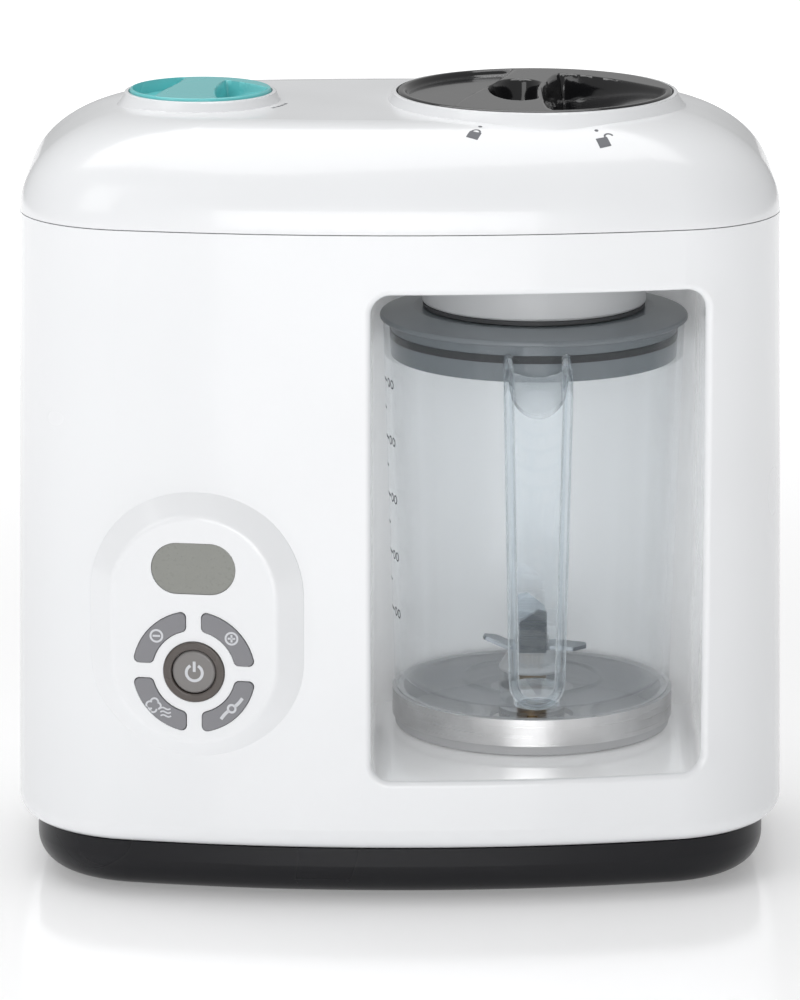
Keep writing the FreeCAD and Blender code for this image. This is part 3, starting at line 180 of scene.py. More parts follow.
BELT_RUBBER = Moulded("belt_rubber", (0.014, 0.014, 0.014), 0.8, 0.0, 800.0, 0.00008, 0.20, 0.08)
CERAMIC = Moulded("ceramic", (0.60, 0.58, 0.53), 0.55, 0.0, 900.0, 0.00003, 0.06, 0.08)
COMPONENT_BLACK = Moulded(
    "component_black", (0.02, 0.02, 0.021), 0.5, 0.0, 1700.0, 0.00003, 0.15, 0.08,
)
HOSE_SILICONE = Moulded("hose_silicone", (0.60, 0.60, 0.56), 0.42, 0.0, 600.0, 0.00003, 0.08, 0.08)
TANK_MILKY = Moulded("tank_milky", (0.70, 0.73, 0.75), 0.36, 0.1, 500.0, 0.00002, 0.05, 0.06)
LCD_BODY = Moulded("lcd_body", (0.10, 0.11, 0.105), 0.4, 0.0, 1500.0, 0.00001, 0.08, 0.05)

STEEL = Metal("brushed_steel", (0.60, 0.60, 0.61), 0.30)
BAND_STEEL = Metal("band_steel", (0.66, 0.66, 0.665), 0.34, Grain.AROUND, 0.000006, 0.10)
SCREW_STEEL = Metal("screw_steel", (0.42, 0.42, 0.44), 0.38)
BLADE_STEEL = Metal("blade_steel", (0.30, 0.325, 0.35), 0.34, Grain.ALONG, 0.000008, 0.12)
BOILER_ALLOY = Metal("boiler_alloy", (0.58, 0.58, 0.59), 0.52, Grain.CAST, 0.00008, 0.15)
ELEMENT_STEEL = Metal("element_steel", (0.30, 0.26, 0.23), 0.46, Grain.AROUND, 0.00001, 0.15)
BRASS = Metal("brass", (0.62, 0.42, 0.13), 0.32)
BEARING_BRONZE = Metal("bearing_bronze", (0.36, 0.23, 0.10), 0.55, Grain.CAST, 0.00003, 0.14)
ROTOR_STEEL = Metal("rotor_steel", (0.34, 0.26, 0.20), 0.5, Grain.AROUND, 0.00003, 0.16)
MAGNET = Metal("magnet", (0.05, 0.05, 0.052), 0.62, Grain.CAST, 0.00005, 0.12)
MOTOR_PAINT = Moulded("motor_paint", (0.075, 0.08, 0.09), 0.42, 0.1, 900.0, 0.00004, 0.12, 0.08)


# ---------------------------------------------------------------- materials


@cache
def moulded(finish: Moulded) -> bpy.types.Material:
    """Make a moulded plastic or rubber.

    Args:
        finish: What the plastic looks like.

    Returns:
        The material.
    """
    material = bpy.data.materials.new(finish.name + "_finish")
    material.use_nodes = True
    tree = material.node_tree
    nodes, links = tree.nodes, tree.links
    nodes.clear()

    place = nodes.new("ShaderNodeTexCoord")
    place.label = "Place on the piece"
    place.location = (-1300, 0)

    colour_frame = nodes.new("NodeFrame")
    colour_frame.label = "Pigment"
    drift = nodes.new("ShaderNodeTexNoise")
    drift.label = "Slow drift of the pigment"
    drift.location = (-1000, 300)
    drift.parent = colour_frame
    tint = nodes.new("ShaderNodeValToRGB")
    tint.label = "Pigment from thin to full"
    tint.location = (-760, 300)
    tint.parent = colour_frame

    gloss_frame = nodes.new("NodeFrame")
    gloss_frame.label = "Polish and handling"
    wiped = nodes.new("ShaderNodeTexNoise")
    wiped.label = "Where it is wiped and held"
    wiped.location = (-1000, 0)
    wiped.parent = gloss_frame
    polish = nodes.new("ShaderNodeMapRange")
    polish.label = "Roughness from polished to dull"
    polish.location = (-760, 0)
    polish.parent = gloss_frame

    grain_frame = nodes.new("NodeFrame")
    grain_frame.label = "Moulding grain"
    grain = nodes.new("ShaderNodeTexNoise")
    grain.label = "Grain of the mould"
    grain.location = (-1000, -320)
    grain.parent = grain_frame
    relief = nodes.new("ShaderNodeBump")
    relief.label = "Height of the grain"
    relief.location = (-520, -320)
    relief.parent = grain_frame

    shader = nodes.new("ShaderNodeBsdfPrincipled")
    shader.label = finish.name.replace("_", " ").capitalize()
    shader.location = (-220, 100)
    output = nodes.new("ShaderNodeOutputMaterial")
    output.label = "Surface"
    output.location = (100, 100)

    drift.inputs["Scale"].default_value = 14.0
    drift.inputs["Detail"].default_value = 1.0
    thin = tuple(min(1.0, part * (1 - finish.tone)) for part in finish.colour)
    full = tuple(min(1.0, part * (1 + finish.tone)) for part in finish.colour)
    tint.color_ramp.elements[0].position = 0.15
    tint.color_ramp.elements[0].color = (*thin, 1.0)
    tint.color_ramp.elements[1].position = 0.85
    tint.color_ramp.elements[1].color = (*full, 1.0)
    wiped.inputs["Scale"].default_value = 22.0
    wiped.inputs["Detail"].default_value = 1.0
    polish.inputs["From Min"].default_value = 0.1
    polish.inputs["From Max"].default_value = 0.9
    polish.inputs["To Min"].default_value = max(0.03, finish.roughness - finish.handled)
    polish.inputs["To Max"].default_value = finish.roughness + finish.handled
    grain.inputs["Scale"].default_value = finish.grain
    grain.inputs["Detail"].default_value = 4.0
    relief.inputs["Strength"].default_value = 0.6
    relief.inputs["Distance"].default_value = finish.relief
    shader.inputs["Coat Weight"].default_value = finish.coat
    shader.inputs["Coat Roughness"].default_value = 0.06
    shader.inputs["IOR"].default_value = 1.49
    shader.inputs["Specular IOR Level"].default_value = finish.specular
    # Painted light: the piece glows in its own colour with the strength painted_glow, though it is
    # no lamp.
    shader.inputs["Emission Color"].default_value = (*finish.colour, 1.0)
    shader.inputs["Emission Strength"].default_value = finish.painted_glow

    links.new(place.outputs["Object"], drift.inputs["Vector"])
    links.new(place.outputs["Object"], wiped.inputs["Vector"])
    links.new(place.outputs["Object"], grain.inputs["Vector"])
    links.new(drift.outputs["Fac"], tint.inputs["Fac"])
    links.new(tint.outputs["Color"], shader.inputs["Base Color"])
    links.new(wiped.outputs["Fac"], polish.inputs["Value"])
    links.new(polish.outputs["Result"], shader.inputs["Roughness"])
    links.new(grain.outputs["Fac"], relief.inputs["Height"])
    links.new(relief.outputs["Normal"], shader.inputs["Normal"])
    links.new(shader.outputs["BSDF"], output.inputs["Surface"])
    return material


@cache
def metal(finish: Metal) -> bpy.types.Material:
    """Make a brushed or cast metal.

    Args:
        finish: What the metal looks like.

    Returns:
        The material.
    """
    material = bpy.data.materials.new(finish.name + "_finish")
    material.use_nodes = True
    tree = material.node_tree
    nodes, links = tree.nodes, tree.links
    nodes.clear()

    place = nodes.new("ShaderNodeTexCoord")
    place.label = "Place on the piece"
    place.location = (-1300, 0)

    line_frame = nodes.new("NodeFrame")
    line_frame.label = "Fine lines or cast skin"
    stretch = nodes.new("ShaderNodeMapping")
    stretch.label = "Run of the lines"
    stretch.location = (-1080, -100)
    stretch.parent = line_frame
    lines = nodes.new("ShaderNodeTexNoise")
    lines.label = "Fine lines"
    lines.location = (-860, -100)
    lines.parent = line_frame
    polish = nodes.new("ShaderNodeMapRange")
    polish.label = "Roughness across the lines"
    polish.location = (-600, 0)
    polish.parent = line_frame
    relief = nodes.new("ShaderNodeBump")
    relief.label = "Depth of the lines"
    relief.location = (-600, -300)
    relief.parent = line_frame

    tone_frame = nodes.new("NodeFrame")
    tone_frame.label = "Tarnish"
    tarnish = nodes.new("ShaderNodeTexNoise")
    tarnish.label = "Patches of tarnish"
    tarnish.location = (-860, 300)
    tarnish.parent = tone_frame
    tint = nodes.new("ShaderNodeValToRGB")
    tint.label = "Bright to dull"
    tint.location = (-600, 300)
    tint.parent = tone_frame

    shader = nodes.new("ShaderNodeBsdfPrincipled")
    shader.label = finish.name.replace("_", " ").capitalize()
    shader.location = (-240, 100)
    output = nodes.new("ShaderNodeOutputMaterial")
    output.label = "Surface"
    output.location = (80, 100)

    stretch.inputs["Scale"].default_value = finish.grain.value
    lines.inputs["Scale"].default_value = 1.0
    lines.inputs["Detail"].default_value = 5.0
    polish.inputs["From Min"].default_value = 0.25
    polish.inputs["From Max"].default_value = 0.75
    polish.inputs["To Min"].default_value = max(0.05, finish.roughness - finish.spread)
    polish.inputs["To Max"].default_value = finish.roughness + finish.spread
    relief.inputs["Strength"].default_value = 0.5
    relief.inputs["Distance"].default_value = finish.relief
    tarnish.inputs["Scale"].default_value = 45.0
    tarnish.inputs["Detail"].default_value = 4.0
    tint.color_ramp.elements[0].position = 0.3
    tint.color_ramp.elements[0].color = (*(part * 0.82 for part in finish.colour), 1.0)
    tint.color_ramp.elements[1].position = 0.65
    tint.color_ramp.elements[1].color = (*finish.colour, 1.0)
    shader.inputs["Metallic"].default_value = 1.0

    links.new(place.outputs["Object"], stretch.inputs["Vector"])
    links.new(stretch.outputs["Vector"], lines.inputs["Vector"])
    links.new(place.outputs["Object"], tarnish.inputs["Vector"])
    links.new(lines.outputs["Fac"], polish.inputs["Value"])
    links.new(polish.outputs["Result"], shader.inputs["Roughness"])
    links.new(lines.outputs["Fac"], relief.inputs["Height"])
    links.new(relief.outputs["Normal"], shader.inputs["Normal"])
    links.new(tarnish.outputs["Fac"], tint.inputs["Fac"])
    links.new(tint.outputs["Color"], shader.inputs["Base Color"])
    links.new(shader.outputs["BSDF"], output.inputs["Surface"])
    return material


@cache
def clear_plastic(finish: Clear) -> bpy.types.Material:
    """Make the clear moulded plastic of the jug.

    Args:
        finish: What the plastic looks like.

    Returns:
        The material.
    """
    material = bpy.data.materials.new(finish.name + "_finish")
    material.use_nodes = True
    tree = material.node_tree
    nodes, links = tree.nodes, tree.links
    nodes.clear()

    place = nodes.new("ShaderNodeTexCoord")
    place.label = "Place on the jug"
    place.location = (-1200, 0)

    haze_frame = nodes.new("NodeFrame")
    haze_frame.label = "Wash haze"
    haze = nodes.new("ShaderNodeTexNoise")
    haze.label = "Patches of wash haze"
    haze.location = (-900, 120)
    haze.parent = haze_frame
    polish = nodes.new("ShaderNodeMapRange")
    polish.label = "Clear to hazy"
    polish.location = (-640, 120)
    polish.parent = haze_frame

    flow_frame = nodes.new("NodeFrame")
    flow_frame.label = "Flow of the moulding"
    flow = nodes.new("ShaderNodeTexNoise")
    flow.label = "Slow ripple from the mould"
    flow.location = (-900, -200)
    flow.parent = flow_frame
    relief = nodes.new("ShaderNodeBump")
    relief.label = "Height of the ripple"
    relief.location = (-640, -200)
    relief.parent = flow_frame

    wall_frame = nodes.new("NodeFrame")
    wall_frame.label = "Thin wall"
    facing = nodes.new("ShaderNodeLayerWeight")
    facing.label = "Square on or along the wall"
    facing.location = (-640, 420)
    facing.parent = wall_frame
    share = nodes.new("ShaderNodeMapRange")
    share.label = "Share of bent and mirrored light"
    share.location = (-400, 420)
    share.parent = wall_frame
    through = nodes.new("ShaderNodeBsdfTransparent")
    through.label = "Light that passes straight through"
    through.location = (-160, 300)
    through.parent = wall_frame

    shader = nodes.new("ShaderNodeBsdfPrincipled")
    shader.label = "Clear moulded plastic"
    shader.location = (-300, 60)
    blend = nodes.new("ShaderNodeMixShader")
    blend.label = "Thin wall over solid plastic"
    blend.location = (60, 200)
    output = nodes.new("ShaderNodeOutputMaterial")
    output.label = "Surface"
    output.location = (280, 200)

    haze.inputs["Scale"].default_value = 26.0
    haze.inputs["Detail"].default_value = 4.0
    polish.inputs["To Min"].default_value = 0.0
    polish.inputs["To Max"].default_value = finish.roughness * 2.0
    flow.inputs["Scale"].default_value = 22.0
    flow.inputs["Detail"].default_value = 1.0
    relief.inputs["Strength"].default_value = 0.2
    relief.inputs["Distance"].default_value = 0.0003
    facing.inputs["Blend"].default_value = 0.5
    share.inputs["From Min"].default_value = 0.45
    share.inputs["From Max"].default_value = 0.95
    share.inputs["To Min"].default_value = finish.middle
    share.inputs["To Max"].default_value = finish.edge
    through.inputs["Color"].default_value = (*finish.tint, 1.0)
    shader.inputs["Base Color"].default_value = (*finish.tint, 1.0)
    shader.inputs["Transmission Weight"].default_value = 1.0
    shader.inputs["IOR"].default_value = 1.45

    links.new(place.outputs["Object"], haze.inputs["Vector"])
    links.new(place.outputs["Object"], flow.inputs["Vector"])
    links.new(haze.outputs["Fac"], polish.inputs["Value"])
    links.new(polish.outputs["Result"], shader.inputs["Roughness"])
    links.new(flow.outputs["Fac"], relief.inputs["Height"])
    links.new(relief.outputs["Normal"], shader.inputs["Normal"])
    links.new(facing.outputs["Facing"], share.inputs["Value"])
    links.new(share.outputs["Result"], blend.inputs["Fac"])
    links.new(through.outputs["BSDF"], blend.inputs[1])
    links.new(shader.outputs["BSDF"], blend.inputs[2])
    links.new(blend.outputs["Shader"], output.inputs["Surface"])
    return material


@cache
def display_glass() -> bpy.types.Material:
    """Make the unlit display's window: a glossy olive grey with faint ghosts of its segments."""
    material = bpy.data.materials.new("display_glass")
    material.use_nodes = True
    tree = material.node_tree
    nodes, links = tree.nodes, tree.links
    nodes.clear()

    place = nodes.new("ShaderNodeTexCoord")
    place.label = "Place on the display"
    place.location = (-1300, 0)

    ghost_frame = nodes.new("NodeFrame")
    ghost_frame.label = "Unlit segments"
    grid = nodes.new("ShaderNodeTexBrick")
    grid.label = "Ghost of the segments"
    grid.location = (-820, 240)
    grid.parent = ghost_frame
    turn = nodes.new("ShaderNodeMapping")
    turn.label = "Lay the segments on the face"
    turn.location = (-1060, 240)
    turn.parent = ghost_frame

    film_frame = nodes.new("NodeFrame")
    film_frame.label = "Polariser film"
    film = nodes.new("ShaderNodeTexNoise")
    film.label = "Film mottling"
    film.location = (-820, -100)
    film.parent = film_frame
    polish = nodes.new("ShaderNodeMapRange")
    polish.label = "Roughness of the film"
    polish.location = (-560, -100)
    polish.parent = film_frame

    shader = nodes.new("ShaderNodeBsdfPrincipled")
    shader.label = "Display window"
    shader.location = (-260, 100)
    output = nodes.new("ShaderNodeOutputMaterial")
    output.label = "Surface"
    output.location = (60, 100)

    turn.inputs["Rotation"].default_value = (math.pi / 2, 0.0, 0.0)
    grid.inputs["Color1"].default_value = (0.239, 0.243, 0.223, 1.0)
    grid.inputs["Color2"].default_value = (0.240, 0.244, 0.224, 1.0)
    grid.inputs["Mortar"].default_value = (0.243, 0.247, 0.227, 1.0)
    grid.inputs["Scale"].default_value = 160.0
    grid.inputs["Mortar Size"].default_value = 0.06
    film.inputs["Scale"].default_value = 600.0
    polish.inputs["To Min"].default_value = 0.22
    polish.inputs["To Max"].default_value = 0.36
    shader.inputs["Coat Weight"].default_value = 0.3
    shader.inputs["Coat Roughness"].default_value = 0.08

    links.new(place.outputs["Object"], turn.inputs["Vector"])
    links.new(turn.outputs["Vector"], grid.inputs["Vector"])
    links.new(place.outputs["Object"], film.inputs["Vector"])
    links.new(grid.outputs["Color"], shader.inputs["Base Color"])
    links.new(film.outputs["Fac"], polish.inputs["Value"])
    links.new(polish.outputs["Result"], shader.inputs["Roughness"])
    links.new(shader.outputs["BSDF"], output.inputs["Surface"])
    return material


@cache
def circuit_board() -> bpy.types.Material:
    """Make the green board with its tracks, pads and solder mask."""
    material = bpy.data.materials.new("circuit_board_finish")
    material.use_nodes = True
    tree = material.node_tree
    nodes, links = tree.nodes, tree.links
    nodes.clear()

    place = nodes.new("ShaderNodeTexCoord")
    place.label = "Place on the board"
    place.location = (-1300, 0)

    track_frame = nodes.new("NodeFrame")
    track_frame.label = "Tracks and pads"
    turn = nodes.new("ShaderNodeMapping")
    turn.label = "Lay the tracks on the face"
    turn.location = (-1080, 200)
    turn.parent = track_frame
    tracks = nodes.new("ShaderNodeTexBrick")
    tracks.label = "Copper tracks"
    tracks.location = (-840, 200)
    tracks.parent = track_frame
    pads = nodes.new("ShaderNodeTexVoronoi")
    pads.label = "Solder pads"
    pads.location = (-840, -160)
    pads.parent = track_frame
    dots = nodes.new("ShaderNodeMapRange")
    dots.label = "Edge of each pad"
    dots.location = (-600, -160)
    dots.parent = track_frame
    blend = nodes.new("ShaderNodeMix")
    blend.label = "Pads over tracks"
    blend.data_type = "RGBA"
    blend.location = (-380, 100)
    blend.parent = track_frame

    shader = nodes.new("ShaderNodeBsdfPrincipled")
    shader.label = "Solder mask"
    shader.location = (-120, 100)
    output = nodes.new("ShaderNodeOutputMaterial")
    output.label = "Surface"
    output.location = (200, 100)

    turn.inputs["Rotation"].default_value = (math.pi / 2, 0.0, 0.0)
    tracks.inputs["Color1"].default_value = (0.012, 0.085, 0.035, 1.0)
    tracks.inputs["Color2"].default_value = (0.010, 0.070, 0.030, 1.0)
    tracks.inputs["Mortar"].default_value = (0.035, 0.16, 0.075, 1.0)
    tracks.inputs["Scale"].default_value = 130.0
    tracks.inputs["Mortar Size"].default_value = 0.05
    pads.inputs["Scale"].default_value = 260.0
    dots.inputs["From Min"].default_value = 0.18
    dots.inputs["From Max"].default_value = 0.22
    dots.inputs["To Min"].default_value = 1.0
    dots.inputs["To Max"].default_value = 0.0
    blend.inputs["B"].default_value = (0.45, 0.44, 0.40, 1.0)
    shader.inputs["Roughness"].default_value = 0.35

    links.new(place.outputs["Object"], turn.inputs["Vector"])
    links.new(turn.outputs["Vector"], tracks.inputs["Vector"])
    links.new(place.outputs["Object"], pads.inputs["Vector"])
    links.new(pads.outputs["Distance"], dots.inputs["Value"])
    links.new(dots.outputs["Result"], blend.inputs["Factor"])
    links.new(tracks.outputs["Color"], blend.inputs["A"])
    links.new(blend.outputs["Result"], shader.inputs["Base Color"])
    links.new(shader.outputs["BSDF"], output.inputs["Surface"])
    return material


def studio_floor() -> bpy.types.Material:
    """Make the pale sheet that the appliance stands on, lit up from below away from the middle."""
    material = bpy.data.materials.new("studio_floor")
    material.use_nodes = True
    tree = material.node_tree
    nodes, links = tree.nodes, tree.links
    nodes.clear()

    place = nodes.new("ShaderNodeTexCoord")
    place.label = "Place on the sheet"
    place.location = (-1100, 0)

    sheen_frame = nodes.new("NodeFrame")
    sheen_frame.label = "Sheen"
    fibre = nodes.new("ShaderNodeTexNoise")
    fibre.label = "Slight unevenness of the sheet"
    fibre.location = (-680, 140)
    fibre.parent = sheen_frame
    polish = nodes.new("ShaderNodeMapRange")
    polish.label = "Sheen of the sheet"
    polish.location = (-440, 140)
    polish.parent = sheen_frame

    glow_frame = nodes.new("NodeFrame")
    glow_frame.label = "Light table"
    reach = nodes.new("ShaderNodeVectorMath")
    reach.label = "Distance from the middle"
    reach.operation = "LENGTH"
    reach.location = (-680, -180)
    reach.parent = glow_frame
    painted_glow = nodes.new("ShaderNodeMapRange")
    painted_glow.label = "Brighter towards the rim"
    painted_glow.interpolation_type = "SMOOTHSTEP"
    painted_glow.location = (-440, -180)
    painted_glow.parent = glow_frame

    shader = nodes.new("ShaderNodeBsdfPrincipled")
    shader.label = "Pale sheet"
    shader.location = (-180, 100)
    output = nodes.new("ShaderNodeOutputMaterial")
    output.label = "Surface"
    output.location = (140, 100)

    fibre.inputs["Scale"].default_value = 30.0
    polish.inputs["To Min"].default_value = 0.10
    polish.inputs["To Max"].default_value = 0.16
    painted_glow.inputs["From Min"].default_value = 0.3
    painted_glow.inputs["From Max"].default_value = 1.6
    painted_glow.inputs["To Min"].default_value = 0.24
    painted_glow.inputs["To Max"].default_value = 0.75
    shader.inputs["Base Color"].default_value = (0.92, 0.92, 0.925, 1.0)
    shader.inputs["Emission Color"].default_value = (1.0, 1.0, 1.0, 1.0)

    links.new(place.outputs["Object"], fibre.inputs["Vector"])
    links.new(fibre.outputs["Fac"], polish.inputs["Value"])
    links.new(polish.outputs["Result"], shader.inputs["Roughness"])
    links.new(place.outputs["Object"], reach.inputs[0])
    links.new(reach.outputs["Value"], painted_glow.inputs["Value"])
    links.new(painted_glow.outputs["Result"], shader.inputs["Emission Strength"])
    links.new(shader.outputs["BSDF"], output.inputs["Surface"])
    return material


# ---------------------------------------------------------------- shared making


def finish_piece(
    name: str,
    bm: bmesh.types.BMesh,
    body: str,
    slot: str,
    material: bpy.types.Material,
    replaced: Sequence[str] = (),
    crease: float = 38.0,
) -> bpy.types.Object:
    """Turn a bmesh into a finished piece that rides on a body.

    Args:
        name: The piece's name.
        bm: Its mesh, in place.
        body: The CAD body it moves with.
        slot: The record's material slot. It is not used.
        material: Its material.
        replaced: The CAD nodes that it stands for.
        crease: The angle in degrees above which an edge stays sharp.

    Returns:
        The new object.
    """
    bmesh.ops.remove_doubles(bm, verts=bm.verts, dist=1e-7)
    bmesh.ops.recalc_face_normals(bm, faces=bm.faces)
    mesh = bpy.data.meshes.new(name)
    bm.to_mesh(mesh)
    bm.free()
    mesh.shade_smooth()
    mesh.set_sharp_from_angle(angle=math.radians(crease))
    piece = bpy.data.objects.new(name, mesh)
    bpy.context.scene.collection.objects.link(piece)
    mesh.materials.append(material)
    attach(piece, body)
    if replaced:
        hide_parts(*replaced)
    log.info("%s: %d faces on %s", name, len(mesh.polygons), body)
    return piece


def dress(material: bpy.types.Material, *names: str) -> None:
    """Give CAD nodes a material.

    Args:
        material: The material.
        names: The nodes.
    """
    for name in names:
        slots = frame["nodes"][name].data.materials
        slots.clear()
        slots.append(material)
        log.info("%s: %s", name, material.name)


def middle_of(name: str) -> Vector:
    """The middle of a CAD node's box."""
    low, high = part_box(name)
    return (low + high) / 2


def ease(start: float, end: float, value: float) -> float:
    """A smooth step.

    Args:
        start: The value where it is 0.
        end: The value where it is 1.
        value: The value asked for.

    Returns:
        A share from 0 to 1.
    """
    share = min(1.0, max(0.0, (value - start) / (end - start)))
    return share * share * (3 - 2 * share)


@dataclass
class Print:
    """Flat marks drawn on a plane of their own and then laid on a surface.

    Args:
        thickness: Height of the ink, in metres.
    """

    thickness: float = 0.06 * MM
    bm: bmesh.types.BMesh = field(default_factory=bmesh.new)

    def stroke(self, points: Sequence[Plan], width: float) -> None:
        """Draw a line of even width through some points.

        Args:
            points: Where the line runs, in metres on the plane.
            width: The line's width.
        """
        last = len(points) - 1
        made = bmesh.ops.create_grid(self.bm, x_segments=last, y_segments=1, size=0.5)["verts"]
        for vert in made:
            index = round((vert.co.x + 0.5) * last)
            before = points[max(0, index - 1)]
            after = points[min(last, index + 1)]
            along = Vector((after[0] - before[0], after[1] - before[1])).normalized()
            side = width / 2 if vert.co.y > 0 else -width / 2
            vert.co = (points[index][0] - along.y * side, points[index][1] + along.x * side, 0.0)

    def arc(self, centre: Plan, radius: float, start: float, end: float, width: float) -> None:
        """Draw part of a circle.

        Args:
            centre: The circle's middle.
            radius: Its radius.
            start: Where the arc starts, in degrees.
            end: Where it ends, in degrees.
            width: The line's width.
        """
        steps = max(6, round(abs(end - start) / 10))
        angles = [math.radians(start + (end - start) * step / steps) for step in range(steps + 1)]
        points = [
            (centre[0] + radius * math.cos(angle), centre[1] + radius * math.sin(angle))
            for angle in angles
        ]
        self.stroke(points, width)

    def dot(self, centre: Plan, radius: float) -> None:
        """Draw a filled round dot."""
        place = Matrix.Translation((centre[0], centre[1], 0.0))
        bmesh.ops.create_circle(self.bm, cap_ends=True, segments=20, radius=radius, matrix=place)

    def bar(self, centre: Plan, width: float, height: float) -> None:
        """Draw a filled rectangle."""
        size = Matrix.Diagonal((width, height, 1.0, 1.0))
        place = Matrix.Translation((centre[0], centre[1], 0.0)) @ size
        bmesh.ops.create_grid(self.bm, x_segments=6, y_segments=2, size=0.5, matrix=place)

    def lay(self, place: Callable[[float, float], tuple[Vector, Vector]]) -> bmesh.types.BMesh:
        """Give the marks their thickness on a surface.

        Args:
            place: Takes a point of the plane to its place on the surface and the normal there.

        Returns:
            The mesh of the laid marks.
        """
        flat = list(self.bm.faces)
        for face in flat:
            face.normal_update()
            if face.normal.z < 0:
                face.normal_flip()
        where = {vert: place(vert.co.x, vert.co.y) for vert in self.bm.verts}
        for vert, (point, normal) in where.items():
            vert.co = point
        made = bmesh.ops.extrude_face_region(self.bm, geom=flat)
        lifts = {point.to_tuple(7): normal for point, normal in where.values()}
        for item in made["geom"]:
            if isinstance(item, bmesh.types.BMVert):
                item.co += lifts[item.co.to_tuple(7)] * self.thickness
        return self.bm


def wire(corners: Sequence[Place], centre: Plan, closed: bool) -> bmesh.types.BMesh:
    """Draw a section as a wire beside an upright axis.

    Args:
        corners: Radius, height and corner rounding of each point of the section, in order.
        centre: X and Y of the axis.
        closed: Whether the last point joins the first.

    Returns:
        The wire's mesh.
    """
    bm = bmesh.new()
    verts = [bm.verts.new((centre[0] + radius, centre[1], height)) for radius, height, _ in corners]
    for first, second in zip(verts, verts[1:]):
        bm.edges.new((first, second))
    if closed:
        bm.edges.new((verts[-1], verts[0]))
    for vert, (_, _, rounding) in zip(verts, corners):
        if rounding > 0:
            bmesh.ops.bevel(
                bm, geom=[vert], offset=rounding, offset_type="OFFSET", segments=4, profile=0.5,
                affect="VERTICES", material=-1,
            )
    return bm


def turn_round(bm: bmesh.types.BMesh, centre: Plan, steps: int) -> None:
    """Turn a wire section about an upright axis into a closed surface.

    Args:
        bm: The mesh that holds the section.
        centre: X and Y of the axis.
        steps: Steps round the turn.
    """
    bmesh.ops.spin(
        bm, geom=list(bm.verts) + list(bm.edges), cent=(*centre, 0.0), axis=(0.0, 0.0, 1.0),
        angle=2 * math.pi, steps=steps, use_merge=True, use_duplicate=False,
    )
    bmesh.ops.remove_doubles(bm, verts=bm.verts, dist=1e-6)


def sweep(bm: bmesh.types.BMesh, sections: Sequence[Matrix], sides: int) -> None:
    """Run a closed bar through a row of round sections.

    Args:
        bm: The mesh that it is added to.
        sections: Takes a unit circle to each section, in order.
        sides: Sides of the bar.
    """
    rings = []
    for section in sections:
        verts = bmesh.ops.create_circle(
            bm, cap_ends=False, segments=sides, radius=1.0, matrix=section
        )["verts"]
        rings.append(list({edge for vert in verts for edge in vert.link_edges}))
    for first, second in zip(rings, rings[1:]):
        bmesh.ops.bridge_loops(bm, edges=first + second)
    bmesh.ops.holes_fill(bm, edges=rings[0] + rings[-1], sides=0)


# ---------------------------------------------------------------- housing


